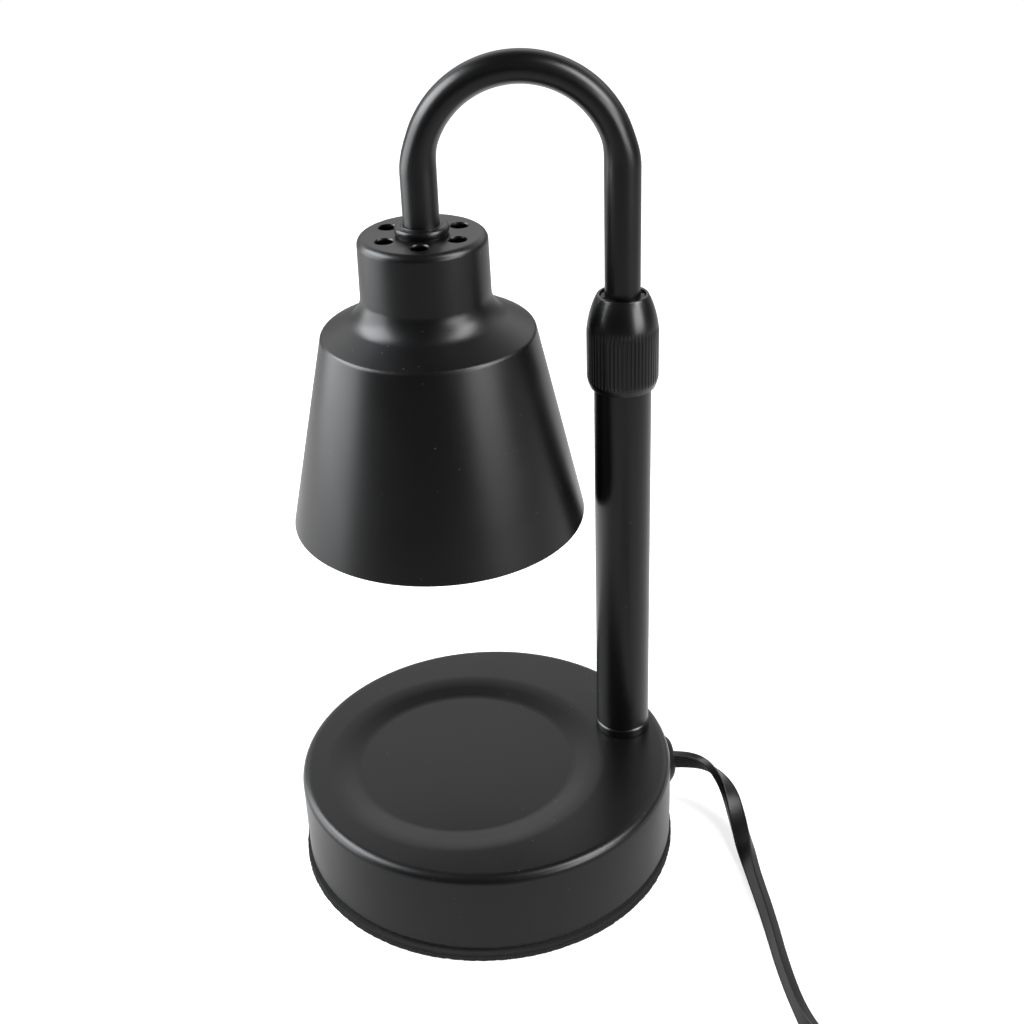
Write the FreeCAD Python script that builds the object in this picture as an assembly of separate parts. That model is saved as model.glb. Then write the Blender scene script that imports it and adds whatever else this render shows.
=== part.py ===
"""Candle warmer lamp: weighted base, telescoping post, U-bent arm, vented shade and mains cord.

Millimetres. The origin is the centre of the shell's axis on the surface that the lamp stands on,
+Z is up, +Y runs from the base's centre to the post, and -Y is the lamp's front.
"""

import FreeCAD
import Part

import math
import os

Vector = FreeCAD.Vector
UP = Vector(0, 0, 1)

# ---- Fits -------------------------------------------------------------------------------------
RUN_CLEARANCE = 0.1      # radial, between parts that slide or turn on each other
FIT_CLEARANCE = 0.05     # radial, between parts that are pushed or screwed together
HOLE_CLEARANCE = 0.3     # radial, of a hole round what only passes through it
AXIAL_CLEARANCE = 0.2    # along a shaft, beside a ring that holds a turning part
OVERCUT = 1.0            # how far a cutting tool stands out of what it cuts
FILLET_ROOM = 0.98       # share of a profile's side that its two fillets may take up
TOUCHING = 1e-6          # below this, two places are one

# ---- Base -------------------------------------------------------------------------------------
SHELL_RADIUS = 75.0
SHELL_WALL = 1.2
SHELL_HEIGHT = 34.0
SHELL_RIM_FILLET = 3.5
PAD_PROUD = 1.1          # radial, how far the pad stands out of the shell
PAD_THICKNESS = 4.0
PAD_SHIFT = -0.3         # the pad is glued on slightly away from the post
PAD_EDGE_FILLET = 0.5
PLATE_THICKNESS = 2.0
PLATE_GAP = 0.3          # radial, between the bottom plate and the shell's wall
RECESS_FRONT_MARGIN = 13.3   # from the shell's front edge to the recess
RECESS_POST_MARGIN = 4.15    # from the recess to the post's foot ring
RECESS_SLOPE = 9.2       # radial width of the dished ring
RECESS_DEPTH = 2.0
RECESS_FILLET = 9.0
STUD_RADIUS = 3.5
STUD_INSET = 9.0         # from the shell's edge to the studs' axes
STUD_COUNT = 4
STUD_START_ANGLE = 45.0
SCREW_RADIUS = 1.5
SCREW_HEAD_RADIUS = 2.75
SCREW_HEAD_HEIGHT = 1.6
SCREW_LENGTH = 8.0
BALLAST_INSET = 19.8     # how much smaller the ballast's radius is than the shell's inner one
BALLAST_THICKNESS = 11.0
BALLAST_CHAMFER = 1.0
BALLAST_SCREW_INSET = 14.0
BALLAST_SCREW_COUNT = 3

# ---- Post -------------------------------------------------------------------------------------
POST_INSET = 15.6        # from the shell's back edge to the post's axis
POST_RADIUS = 10.65
POST_WALL = 1.3
POST_LENGTH = 168.0
FOOT_RING_PROUD = 0.3
FOOT_RING_HEIGHT = 3.9
FOOT_RING_CHAMFER = 0.5
FOOT_SPIGOT_HEIGHT = 10.0
POST_NIPPLE_RADIUS = 5.0
POST_NIPPLE_BORE = 3.9
POST_NIPPLE_DROP = 9.8   # below the underside of the shell's top
POST_WASHER_RADIUS = 11.0
POST_WASHER_THICKNESS = 1.2
POST_NUT_FLATS = 15.0
POST_NUT_HEIGHT = 5.0

# ---- Clamp at the top of the post ---------------------------------------------------------------
COLLET_SPIGOT = 12.0
COLLET_FLANGE_INSET = 0.25   # from the post's outside to the flange's edge
COLLET_FLANGE_HEIGHT = 2.0
COLLET_CONE_STEP = 0.4   # from the flange's edge to the cone's foot
COLLET_TIP_WALL = 1.4
COLLET_TIP_DROP = 0.8    # from the lock nut's lip down to the collet's tip
COLLET_SLOTS = 4
COLLET_SLOT_WIDTH = 1.2
NUT_OVERLAP = 16.1       # how far the lock nut reaches down over the post
NUT_HEIGHT = 35.7
NUT_WALL = 2.6           # from the post's outside to the ribs' tips
NUT_RIB_DEPTH = 0.35
NUT_RIB_COUNT = 55
NUT_FOOT_WALL = 1.45
NUT_FOOT_RISE = 3.2
NUT_FOOT_FILLET = 8.0
NUT_DOME_DROP = 7.2      # from the nut's top to where its dome's curve turns on the profile
NUT_DOME_FILLET = 31.0
NUT_LIP_WALL = 1.0
NUT_LIP_FILLET = 0.5
NUT_CONE_GAP = 0.3

# ---- Arm --------------------------------------------------------------------------------------
ARM_TURN = -18.0         # degrees, how far the arm is swivelled off the base's centre line
ARM_RADIUS = 6.5
ARM_WALL = 1.2
ARM_RISE = 66.1          # at rest, from the post's top to where the bend starts
BEND_FLATTENING = 0.12   # share of the radius that the bend loses in its own plane
BEND_BLEND = 20.0        # degrees over which the section flattens
BEND_STEP = 10.0
LONG_LEG = 172.0
SHORT_LEG = 22.0
GUIDE_FOOT_GAP = 4.0     # from the arm's lower end to the bush's lower ring
GUIDE_BUSH_LENGTH = 14.0
GUIDE_RING_THICKNESS = 1.2
GUIDE_RING_WALL = 1.4
END_BUSH_FLANGE = 2.0
END_BUSH_DEPTH = 6.0
LEAD_RADIUS = 2.7
LEAD_END = 2.0           # how far the arm's lead stands out of its end bushing

# ---- Shade ------------------------------------------------------------------------------------
SHADE_WALL = 1.0
SHADE_HEIGHT = 112.0
NECK_TOP_RADIUS = 23.3
NECK_BOTTOM_RADIUS = 23.8
NECK_TOP_FILLET = 2.8
NECK_BOTTOM_DROP = 28.5
NECK_BOTTOM_FILLET = 10.5
SHOULDER_RADIUS = 39.4
SHOULDER_DROP = 36.5
SHOULDER_FILLET = 2.0
RIM_RADIUS = 55.9
RIM_POST_GAP = 4.05      # between the shade's rim and the post
VENT_COUNT = 6
VENT_RADIUS = 3.25
VENT_CIRCLE = 14.8
VENT_START_ANGLE = 30.0
COLLAR_WALL = 3.3
COLLAR_NECKING = 0.7     # radial, how far the collar is cut in at its foot
COLLAR_HEIGHT = 3.6
COLLAR_UNDERCUT = 0.6
COLLAR_LIP = 0.9
ARM_NIPPLE_BORE = 4.0
ARM_NIPPLE_RISE = 12.0
ARM_NIPPLE_DROP = 7.5
SHADE_WASHER_RADIUS = 9.5
SHADE_WASHER_THICKNESS = 1.0
SHADE_NUT_FLATS = 16.0
SHADE_NUT_HEIGHT = 4.5

# ---- Lampholder and bulb ----------------------------------------------------------------------
BRACKET_THICKNESS = 1.0
BRACKET_WIDTH = 14.0
HOLDER_RADIUS = 12.2
HOLDER_HEIGHT = 16.0
HOLDER_GAP = 2.6         # between the nipple's end and the holder's top
HOLDER_EDGE = 1.0
HOLDER_SCREW_DROP = 5.0
HOLDER_SCREW_LENGTH = 5.0
PIN_OFFSET = 5.0         # from the bulb's axis, a 10 mm pin spacing
PIN_RADIUS = 1.5
PIN_HEAD_RADIUS = 2.5
PIN_HEAD_HEIGHT = 2.6
PIN_LENGTH = 6.5
PIN_SLOT_GAP = 0.4
PIN_SLOT_DEPTH = 8.0
BULB_TURN = 40.0         # degrees from locked to free
BULB_GAP = 0.3
BULB_BASE_RADIUS = 9.5
BULB_BASE_HEIGHT = 12.0
BULB_FACE_RADIUS = 25.0
BULB_RIM_HEIGHT = 4.0
BULB_REFLECTOR_HEIGHT = 34.0
BULB_WALL = 1.6
BULB_LENS_THICKNESS = 2.0
BULB_THROAT_RADIUS = 6.0
CAPSULE_RADIUS = 4.5
CAPSULE_LENGTH = 22.0
CAPSULE_TIP_FILLET = 4.0

# ---- Mains cord -------------------------------------------------------------------------------
CORD_RADIUS = 2.8
CORD_TURN = -8.0         # degrees, the cord's outlet round the base from the post's side
CORD_OUTLET_Z = 25.0
RELIEF_FLANGE_RADIUS = 10.2
RELIEF_FLANGE_HEIGHT = 3.3
RELIEF_NECK_RADIUS = 6.5
RELIEF_NECK_LENGTH = 7.0
RELIEF_SNAP = 0.7
RELIEF_BARB_LENGTH = 1.5
RELIEF_FILLET = 2.4
TERMINAL_SIZE = (20.0, 15.0, 11.0)
TERMINAL_INSET = 19.3    # from the ballast's back edge to the block's middle
TERMINAL_POLE_PITCH = 9.0
TERMINAL_SCREW_RADIUS = 1.8
TERMINAL_SCREW_HEIGHT = 2.0
CORD_TAIL_STRAIGHT = 18.0
LEAD_SLACK_RADIUS = 5.5
LEAD_RISE = 4.0          # how far the base's lead stands out of the foot ring's spigot

# From the base to the dimmer: the cord leaves the wall, drops to the table and turns away.
CORD_RUN = [
    (10.9, 77.54, 25.0), (11.85, 84.3, 24.6), (15.8, 92.6, 20.8), (23.6, 98.8, 13.4), (33.6, 98.4, 6.2),
    (46.0, 95.2, 3.0), (66.1, 90.6, 2.8), (90.0, 86.0, 2.8), (117.8, 79.4, 2.8), (140.5, 75.9, 2.8),
    (156.03, 75.78, 6.0), (165.0, 75.0, 6.0),
]
# From the dimmer to the coil, and from the coil to the plug.
CORD_LINK = [
    (224.8, 69.8, 6.0), (233.77, 69.02, 6.0), (246.6, 67.7, 4.0), (258.4, 61.8, 3.6), (266.6, 51.5, 3.6),
    (270.2, 38.9, 3.6), (270.1, 31.0, 3.6),
]
CORD_END = [(213.0, -24.2, 8.4), (204.5, -24.9, 7.0), (196.5, -25.8, 7.0)]

DIMMER_LENGTH = 60.0
DIMMER_WIDTH = 25.0
DIMMER_HEIGHT = 18.0
DIMMER_PARTING = 9.0
DIMMER_WALL = 1.6
DIMMER_FILLET = 4.0
DIMMER_FOOT_FILLET = 1.0
DIMMER_TOP_FILLET = 2.0
DIMMER_SCREW_INSET = 22.0
DIMMER_BOARD_LENGTH = 36.0
DIMMER_BOARD_THICKNESS = 1.6
DIMMER_BOARD_Z = 5.0
DIMMER_POT_SIZE = (12.0, 12.0, 6.0)
KNOB_RADIUS = 9.5
KNOB_HEIGHT = 4.0
KNOB_LIFT = 0.3
KNOB_SHAFT_RADIUS = 3.0
KNOB_FILLET = 1.0
KNOB_FLUTES = 24
KNOB_FLUTE_RADIUS = 0.5

COIL_CENTRE = (231.4, 14.0)
COIL_INNER_RADIUS = 24.4
COIL_OUTER_RADIUS = 39.2
COIL_HEIGHT = 12.7
COIL_FILLET = 2.5
TIE_WIDTH = 6.0
TIE_THICKNESS = 0.8
TIE_ANGLE = 215.0

PLUG_LENGTH = 34.0
PLUG_WIDTH = 25.0
PLUG_HEIGHT = 14.0
PLUG_NECK_LENGTH = 12.0
PLUG_NECK_RADIUS = 4.4
PLUG_FILLET = 3.0
BLADE_LENGTH = 16.0
BLADE_ROOT = 6.0
BLADE_WIDTH = 6.3
BLADE_THICKNESS = 1.5
BLADE_PITCH = 12.7

# ---- Derived places ---------------------------------------------------------------------------
PAD_RADIUS = SHELL_RADIUS + PAD_PROUD
STUD_CIRCLE = SHELL_RADIUS - STUD_INSET
POST_Y = SHELL_RADIUS - POST_INSET
FOOT_RING_RADIUS = POST_RADIUS + FOOT_RING_PROUD
RECESS_FRONT_Y = RECESS_FRONT_MARGIN - SHELL_RADIUS
RECESS_BACK_Y = POST_Y - FOOT_RING_RADIUS - RECESS_POST_MARGIN
RECESS_CENTRE_Y = (RECESS_BACK_Y + RECESS_FRONT_Y) / 2
RECESS_RADIUS = (RECESS_BACK_Y - RECESS_FRONT_Y) / 2
RECESS_FLOOR_RADIUS = RECESS_RADIUS - RECESS_SLOPE
PLATE_Z = PAD_THICKNESS
SHELL_Z = PLATE_Z + PLATE_THICKNESS
BASE_TOP_Z = SHELL_Z + SHELL_HEIGHT
SHELL_UNDERSIDE_Z = BASE_TOP_Z - SHELL_WALL
SHELL_INNER_RADIUS = SHELL_RADIUS - SHELL_WALL
PLATE_RADIUS = SHELL_INNER_RADIUS - PLATE_GAP
BALLAST_RADIUS = SHELL_INNER_RADIUS - BALLAST_INSET
BALLAST_SCREW_CIRCLE = BALLAST_RADIUS - BALLAST_SCREW_INSET
BALLAST_TOP_Z = SHELL_Z + BALLAST_THICKNESS
TERMINAL_Y = RECESS_CENTRE_Y + BALLAST_RADIUS - TERMINAL_INSET
POST_FOOT_Z = BASE_TOP_Z + FOOT_RING_HEIGHT
POST_TOP_Z = POST_FOOT_Z + POST_LENGTH
POST_BORE = POST_RADIUS - POST_WALL
SPIGOT_TOP_Z = POST_FOOT_Z + FOOT_SPIGOT_HEIGHT
NUT_FOOT_Z = POST_TOP_Z - NUT_OVERLAP
NUT_TOP_Z = NUT_FOOT_Z + NUT_HEIGHT
COLLET_TOP_Z = NUT_TOP_Z - COLLET_TIP_DROP
NUT_RIB_RADIUS = POST_RADIUS + NUT_WALL
NUT_FOOT_RADIUS = POST_RADIUS + RUN_CLEARANCE + NUT_FOOT_WALL
COLLET_FLANGE_RADIUS = POST_RADIUS - COLLET_FLANGE_INSET
COLLET_CONE_FOOT_RADIUS = COLLET_FLANGE_RADIUS - COLLET_CONE_STEP
COLLET_CONE_TOP_RADIUS = ARM_RADIUS + RUN_CLEARANCE + COLLET_TIP_WALL
NUT_LIP_RADIUS = COLLET_CONE_TOP_RADIUS + NUT_CONE_GAP + NUT_LIP_WALL
COLLET_FLANGE_Z = POST_TOP_Z + COLLET_FLANGE_HEIGHT
ARM_BORE = ARM_RADIUS - ARM_WALL
ARM_REACH = RIM_RADIUS + RIM_POST_GAP + POST_RADIUS
BEND_RADIUS = ARM_REACH / 2
BEND_START_Z = POST_TOP_Z + ARM_RISE
ARM_FOOT_Z = BEND_START_Z - LONG_LEG
GUIDE_RING_RADIUS = ARM_RADIUS + GUIDE_RING_WALL
COLLAR_RADIUS = ARM_RADIUS + COLLAR_WALL
COLLAR_FOOT_RADIUS = COLLAR_RADIUS - COLLAR_NECKING
SHADE_TOP_Z = BEND_START_Z - SHORT_LEG
SHADE_PLATE_Z = SHADE_TOP_Z - SHADE_WALL
RIM_Z = SHADE_TOP_Z - SHADE_HEIGHT
ARM_NIPPLE_RADIUS = ARM_BORE - FIT_CLEARANCE
BRACKET_Z = SHADE_PLATE_Z - SHADE_WASHER_THICKNESS - BRACKET_THICKNESS
SHADE_NUT_Z = BRACKET_Z - SHADE_NUT_HEIGHT
ARM_NIPPLE_Z = SHADE_PLATE_Z - ARM_NIPPLE_DROP
HOLDER_TOP_Z = ARM_NIPPLE_Z - HOLDER_GAP
HOLDER_Z = HOLDER_TOP_Z - HOLDER_HEIGHT
BULB_TOP_Z = HOLDER_Z - BULB_GAP
REFLECTOR_TOP_Z = BULB_TOP_Z - BULB_BASE_HEIGHT
BULB_FACE_Z = REFLECTOR_TOP_Z - BULB_REFLECTOR_HEIGHT
GUIDE_Z = ARM_FOOT_Z + GUIDE_FOOT_GAP
END_BUSH_Z = ARM_FOOT_Z - END_BUSH_FLANGE
LEAD_FOOT_Z = END_BUSH_Z - LEAD_END
LEAD_TOP_Z = SPIGOT_TOP_Z + LEAD_RISE


# ---- Helpers ----------------------------------------------------------------------------------
def direction(angle):
    """A level unit vector at an angle in degrees from +X."""
    turn = math.radians(angle)
    return Vector(math.cos(turn), math.sin(turn), 0)


def unit(vector):
    """The vector at length 1."""
    return vector * (1.0 / vector.Length)


def round_corner(before, corner, after, radius):
    """The first, middle and last point of the arc that rounds a corner."""
    one = unit(before - corner)
    two = unit(after - corner)
    half = one.getAngle(two) / 2
    setback = radius / math.tan(half)
    centre = corner + unit(one + two) * (radius / math.sin(half))
    return corner + one * setback, centre - unit(one + two) * radius, corner + two * setback


def rounding(corners, points):
    """The fillet radii of a closed profile, each kept within what its two sides leave room for."""
    count = len(points)
    wanted = []
    for index, (_, _, radius) in enumerate(corners):
        one = points[index - 1] - points[index]
        two = points[(index + 1) % count] - points[index]
        wanted.append(radius / math.tan(one.getAngle(two) / 2) if radius > 0 else 0.0)
    shares = []
    for index in range(count):
        after = (index + 1) % count
        room = FILLET_ROOM * points[index].distanceToPoint(points[after])
        taken = wanted[index] + wanted[after]
        shares.append(min(1.0, room / taken) if taken > 0 else 1.0)
    return [corners[index][2] * min(shares[index - 1], shares[index]) for index in range(count)]


def outline(corners):
    """A closed wire through (across, up, fillet radius) corners in the XZ plane."""
    points = [Vector(r, 0, z) for r, z, _ in corners]
    edges = []
    ends = []
    for index, radius in enumerate(rounding(corners, points)):
        corner = points[index]
        if radius > 0:
            after = points[(index + 1) % len(points)]
            start, middle, end = round_corner(points[index - 1], corner, after, radius)
            edges.append(Part.Arc(start, middle, end).toShape())
            ends.append((start, end))
        else:
            ends.append((corner, corner))
    for index, (_, end) in enumerate(ends):
        start = ends[(index + 1) % len(ends)][0]
        if end.distanceToPoint(start) > TOUCHING:
            edges.append(Part.LineSegment(end, start).toShape())
    return Part.Wire(Part.__sortEdges__(edges))


def turned(corners, x=0.0, y=0.0):
    """The solid of a profile turned about the upright axis at x, y."""
    solid = Part.Face(outline(corners)).revolve(Vector(0, 0, 0), UP, 360)
    solid.translate(Vector(x, y, 0))
    return solid


def plain(pairs):
    """Corners with no fillets from (across, up) pairs."""
    return [(r, z, 0) for r, z in pairs]


def disc(radius, low, high, x=0.0, y=0.0):
    """An upright cylinder between two heights."""
    return Part.makeCylinder(radius, high - low, Vector(x, y, low))


def ring(outer, inner, low, high, x=0.0, y=0.0):
    """An upright tube between two heights."""
    return disc(outer, low, high, x, y).cut(disc(inner, low - OVERCUT, high + OVERCUT, x, y))


def rod(start, end, radius):
    """A cylinder from one point to another."""
    return Part.makeCylinder(radius, (end - start).Length, start, end - start)


def hex_nut(flats, bore, low, high, x=0.0, y=0.0):
    """A hexagonal nut with a plain bore."""
    corner = flats / math.sqrt(3)
    points = [Vector(x, y, low) + direction(60 * side) * corner for side in range(7)]
    prism = Part.Face(Part.makePolygon(points)).extrude(UP * (high - low))
    return prism.cut(disc(bore, low - OVERCUT, high + OVERCUT, x, y))


def box(size, centre, low):
    """An upright block by its size, its centre in plan and its lower face."""
    length, width, height = size
    return Part.makeBox(length, width, height, Vector(centre[0] - length / 2, centre[1] - width / 2, low))


def offset_profile(corners, wall):
    """An open profile moved sideways by a wall, to the right of its direction, with its fillets."""
    points = [Vector(r, 0, z) for r, z, _ in corners]
    runs = [unit(b - a) for a, b in zip(points, points[1:])]
    sides = [Vector(run.z, 0, -run.x) for run in runs]
    moved = [(points[0] + sides[0] * wall, 0)]
    for index in range(1, len(points) - 1):
        bisector = unit(sides[index - 1] + sides[index])
        reach = wall / bisector.dot(sides[index])
        outside = runs[index].dot(sides[index - 1]) > 0
        radius = corners[index][2]
        inner = max(radius - wall, wall / 4) if outside else radius + wall
        moved.append((points[index] + bisector * reach, inner if radius > 0 else 0))
    moved.append((points[-1] + sides[-1] * wall, 0))
    return [(point.x, point.z, radius) for point, radius in moved]


def around(shape, count, x, y, start=0.0):
    """Copies of a shape spaced evenly about the upright axis at x, y."""
    copies = []
    for index in range(count):
        copy = shape.copy()
        copy.rotate(Vector(x, y, 0), UP, start + 360.0 * index / count)
        copies.append(copy)
    return copies


def on_arm(shape):
    """A shape built about the post's axis with the arm towards -Y, turned to the arm's rest."""
    placed = shape.copy()
    placed.rotate(Vector(0, POST_Y, 0), UP, ARM_TURN)
    return placed


def laid(shape, start, heading):
    """A shape built along +X from the origin, laid on the table from a point at a heading."""
    placed = shape.copy()
    placed.rotate(Vector(0, 0, 0), UP, heading)
    placed.translate(Vector(start[0], start[1], 0))
    return placed


def heading(start, end):
    """The heading in degrees from one point to another."""
    return math.degrees(math.atan2(end[1] - start[1], end[0] - start[0]))


def screws(centres, low, length):
    """Countersunk screws whose flat heads face down, one at each centre."""
    corners = plain([
        (0, low), (SCREW_HEAD_RADIUS, low), (SCREW_RADIUS, low + SCREW_HEAD_HEIGHT),
        (SCREW_RADIUS, low + length), (0, low + length),
    ])
    return Part.makeCompound([turned(corners, x, y) for x, y in centres])


def screw_holes(centres, low, length):
    """Cutting tools that leave a small gap round the screws."""
    gap = FIT_CLEARANCE
    corners = plain([
        (0, low - OVERCUT), (SCREW_HEAD_RADIUS + gap, low - OVERCUT), (SCREW_HEAD_RADIUS + gap, low),
        (SCREW_RADIUS + gap, low + SCREW_HEAD_HEIGHT), (SCREW_RADIUS + gap, low + length + gap),
        (0, low + length + gap),
    ])
    return [turned(corners, x, y) for x, y in centres]


# ---- Base -------------------------------------------------------------------------------------
def stud_centres():
    """Where the studs under the shell's top stand."""
    angles = [STUD_START_ANGLE + 360.0 * index / STUD_COUNT for index in range(STUD_COUNT)]
    return [(STUD_CIRCLE * direction(angle).x, STUD_CIRCLE * direction(angle).y) for angle in angles]


def ballast_screw_centres():
    """Where the screws enter the ballast."""
    angles = [90 + 360.0 * index / BALLAST_SCREW_COUNT for index in range(BALLAST_SCREW_COUNT)]
    reach = BALLAST_SCREW_CIRCLE
    return [(reach * direction(angle).x, RECESS_CENTRE_Y + reach * direction(angle).y) for angle in angles]


def dish(drop):
    """The recess in the shell's top as a solid, lowered by a drop."""
    top = BASE_TOP_Z - drop
    floor = top - RECESS_DEPTH
    return turned(plain([
        (0, floor), (RECESS_FLOOR_RADIUS, floor), (RECESS_RADIUS, top),
        (RECESS_RADIUS, top + drop + OVERCUT), (0, top + drop + OVERCUT),
    ]), 0, RECESS_CENTRE_Y)


def dished_drum(radius, low, high, drop, rim_fillet):
    """A drum whose top has the recess, with its rim and the recess's edges rounded."""
    drum = turned([(0, low, 0), (radius, low, 0), (radius, high, rim_fillet), (0, high, 0)])
    drum = drum.cut(dish(drop))
    edges = []
    for edge in drum.Edges:
        if isinstance(edge.Curve, Part.Circle) and abs(edge.Curve.Center.y - RECESS_CENTRE_Y) < TOUCHING:
            edges.append(edge)
    return drum.makeFillet(RECESS_FILLET, edges)


def outlet_direction():
    """The level direction in which the cord leaves the shell."""
    return direction(90 + CORD_TURN)


def base_shell():
    """Deep-drawn steel shell with a dished top, a hole for the post and one for the cord."""
    outer = dished_drum(SHELL_RADIUS, SHELL_Z, BASE_TOP_Z, 0, SHELL_RIM_FILLET)
    inner = dished_drum(SHELL_INNER_RADIUS, SHELL_Z - OVERCUT, SHELL_UNDERSIDE_Z, SHELL_WALL,
                        SHELL_RIM_FILLET - SHELL_WALL)
    shell = outer.cut(inner)
    shell = shell.cut(disc(POST_NIPPLE_RADIUS + HOLE_CLEARANCE, SHELL_UNDERSIDE_Z - OVERCUT,
                           BASE_TOP_Z + OVERCUT, 0, POST_Y))
    out = outlet_direction()
    level = Vector(0, 0, CORD_OUTLET_Z)
    hole = rod(level + out * (SHELL_INNER_RADIUS - 2 * OVERCUT), level + out * (SHELL_RADIUS + OVERCUT),
               RELIEF_NECK_RADIUS + FIT_CLEARANCE)
    return shell.cut(hole)


def shell_studs():
    """Threaded studs welded under the shell's top, which the bottom plate is screwed to."""
    studs = [disc(STUD_RADIUS, SHELL_Z, SHELL_UNDERSIDE_Z, x, y) for x, y in stud_centres()]
    tools = screw_holes(stud_centres(), PLATE_Z, SCREW_LENGTH)
    return Part.makeCompound([stud.cut(tool) for stud, tool in zip(studs, tools)])


def bottom_plate():
    """Steel plate that closes the shell, set in from its wall, with countersunk holes."""
    plate = disc(PLATE_RADIUS, PLATE_Z, SHELL_Z)
    for tool in screw_holes(stud_centres() + ballast_screw_centres(), PLATE_Z, SCREW_LENGTH):
        plate = plate.cut(tool)
    return plate


def foot_pad():
    """Foam pad glued under the bottom plate."""
    return turned([
        (0, 0, 0), (PAD_RADIUS, 0, PAD_EDGE_FILLET), (PAD_RADIUS, PAD_THICKNESS, PAD_EDGE_FILLET),
        (0, PAD_THICKNESS, 0),
    ], 0, PAD_SHIFT)


def ballast_weight():
    """Cast iron disc that keeps the lamp from tipping."""
    top = BALLAST_TOP_Z
    weight = turned(plain([
        (0, SHELL_Z), (BALLAST_RADIUS, SHELL_Z), (BALLAST_RADIUS, top - BALLAST_CHAMFER),
        (BALLAST_RADIUS - BALLAST_CHAMFER, top), (0, top),
    ]), 0, RECESS_CENTRE_Y)
    for tool in screw_holes(ballast_screw_centres(), PLATE_Z, SCREW_LENGTH):
        weight = weight.cut(tool)
    return weight


# ---- Post -------------------------------------------------------------------------------------
def post_foot_ring():
    """Turned ring under the tube, with a spigot that centres it and a threaded bore."""
    spigot = POST_BORE - FIT_CLEARANCE
    bore = POST_NIPPLE_RADIUS + FIT_CLEARANCE
    return turned(plain([
        (bore, BASE_TOP_Z), (FOOT_RING_RADIUS, BASE_TOP_Z),
        (FOOT_RING_RADIUS, POST_FOOT_Z - FOOT_RING_CHAMFER),
        (FOOT_RING_RADIUS - FOOT_RING_CHAMFER, POST_FOOT_Z), (spigot, POST_FOOT_Z),
        (spigot, SPIGOT_TOP_Z), (bore, SPIGOT_TOP_Z),
    ]), 0, POST_Y)


def post_nipple():
    """Hollow threaded rod that ties the post to the shell and lets the lead through."""
    low = SHELL_UNDERSIDE_Z - POST_NIPPLE_DROP
    return ring(POST_NIPPLE_RADIUS, POST_NIPPLE_BORE, low, SPIGOT_TOP_Z, 0, POST_Y)


def post_washer():
    """Washer under the shell's top."""
    low = SHELL_UNDERSIDE_Z - POST_WASHER_THICKNESS
    return ring(POST_WASHER_RADIUS, POST_NIPPLE_RADIUS + FIT_CLEARANCE, low, SHELL_UNDERSIDE_Z, 0, POST_Y)


def post_nut():
    """Nut that draws the post down onto the shell."""
    high = SHELL_UNDERSIDE_Z - POST_WASHER_THICKNESS
    bore = POST_NIPPLE_RADIUS + FIT_CLEARANCE
    return hex_nut(POST_NUT_FLATS, bore, high - POST_NUT_HEIGHT, high, 0, POST_Y)


def outer_tube():
    """Fixed lower tube of the post."""
    return ring(POST_RADIUS, POST_BORE, POST_FOOT_Z, POST_TOP_Z, 0, POST_Y)


def collet():
    """Slotted bushing in the tube's mouth, which the lock nut squeezes on the arm."""
    bore = ARM_RADIUS + RUN_CLEARANCE
    spigot = POST_BORE - FIT_CLEARANCE
    body = turned(plain([
        (bore, POST_TOP_Z - COLLET_SPIGOT), (spigot, POST_TOP_Z - COLLET_SPIGOT), (spigot, POST_TOP_Z),
        (COLLET_FLANGE_RADIUS, POST_TOP_Z), (COLLET_FLANGE_RADIUS, COLLET_FLANGE_Z),
        (COLLET_CONE_FOOT_RADIUS, COLLET_FLANGE_Z), (COLLET_CONE_TOP_RADIUS, COLLET_TOP_Z),
        (bore, COLLET_TOP_Z),
    ]), 0, POST_Y)
    height = COLLET_TOP_Z - POST_TOP_Z + OVERCUT
    slot = Part.makeBox(COLLET_FLANGE_RADIUS + OVERCUT, COLLET_SLOT_WIDTH, height,
                        Vector(0, POST_Y - COLLET_SLOT_WIDTH / 2, POST_TOP_Z))
    return body.cut(around(slot, COLLET_SLOTS, 0, POST_Y))


def nut_ribs():
    """A prism whose section is the ring of ribs, for the lock nut's grip."""
    points = []
    pitch = 360.0 / NUT_RIB_COUNT
    root = NUT_RIB_RADIUS - NUT_RIB_DEPTH
    axis = Vector(0, POST_Y, NUT_FOOT_Z)
    for index in range(NUT_RIB_COUNT):
        for share, radius in ((0.1, NUT_RIB_RADIUS), (0.5, NUT_RIB_RADIUS), (0.65, root), (0.95, root)):
            points.append(axis + direction((index + share) * pitch) * radius)
    points.append(points[0])
    return Part.Face(Part.makePolygon(points)).extrude(UP * NUT_HEIGHT)


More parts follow.
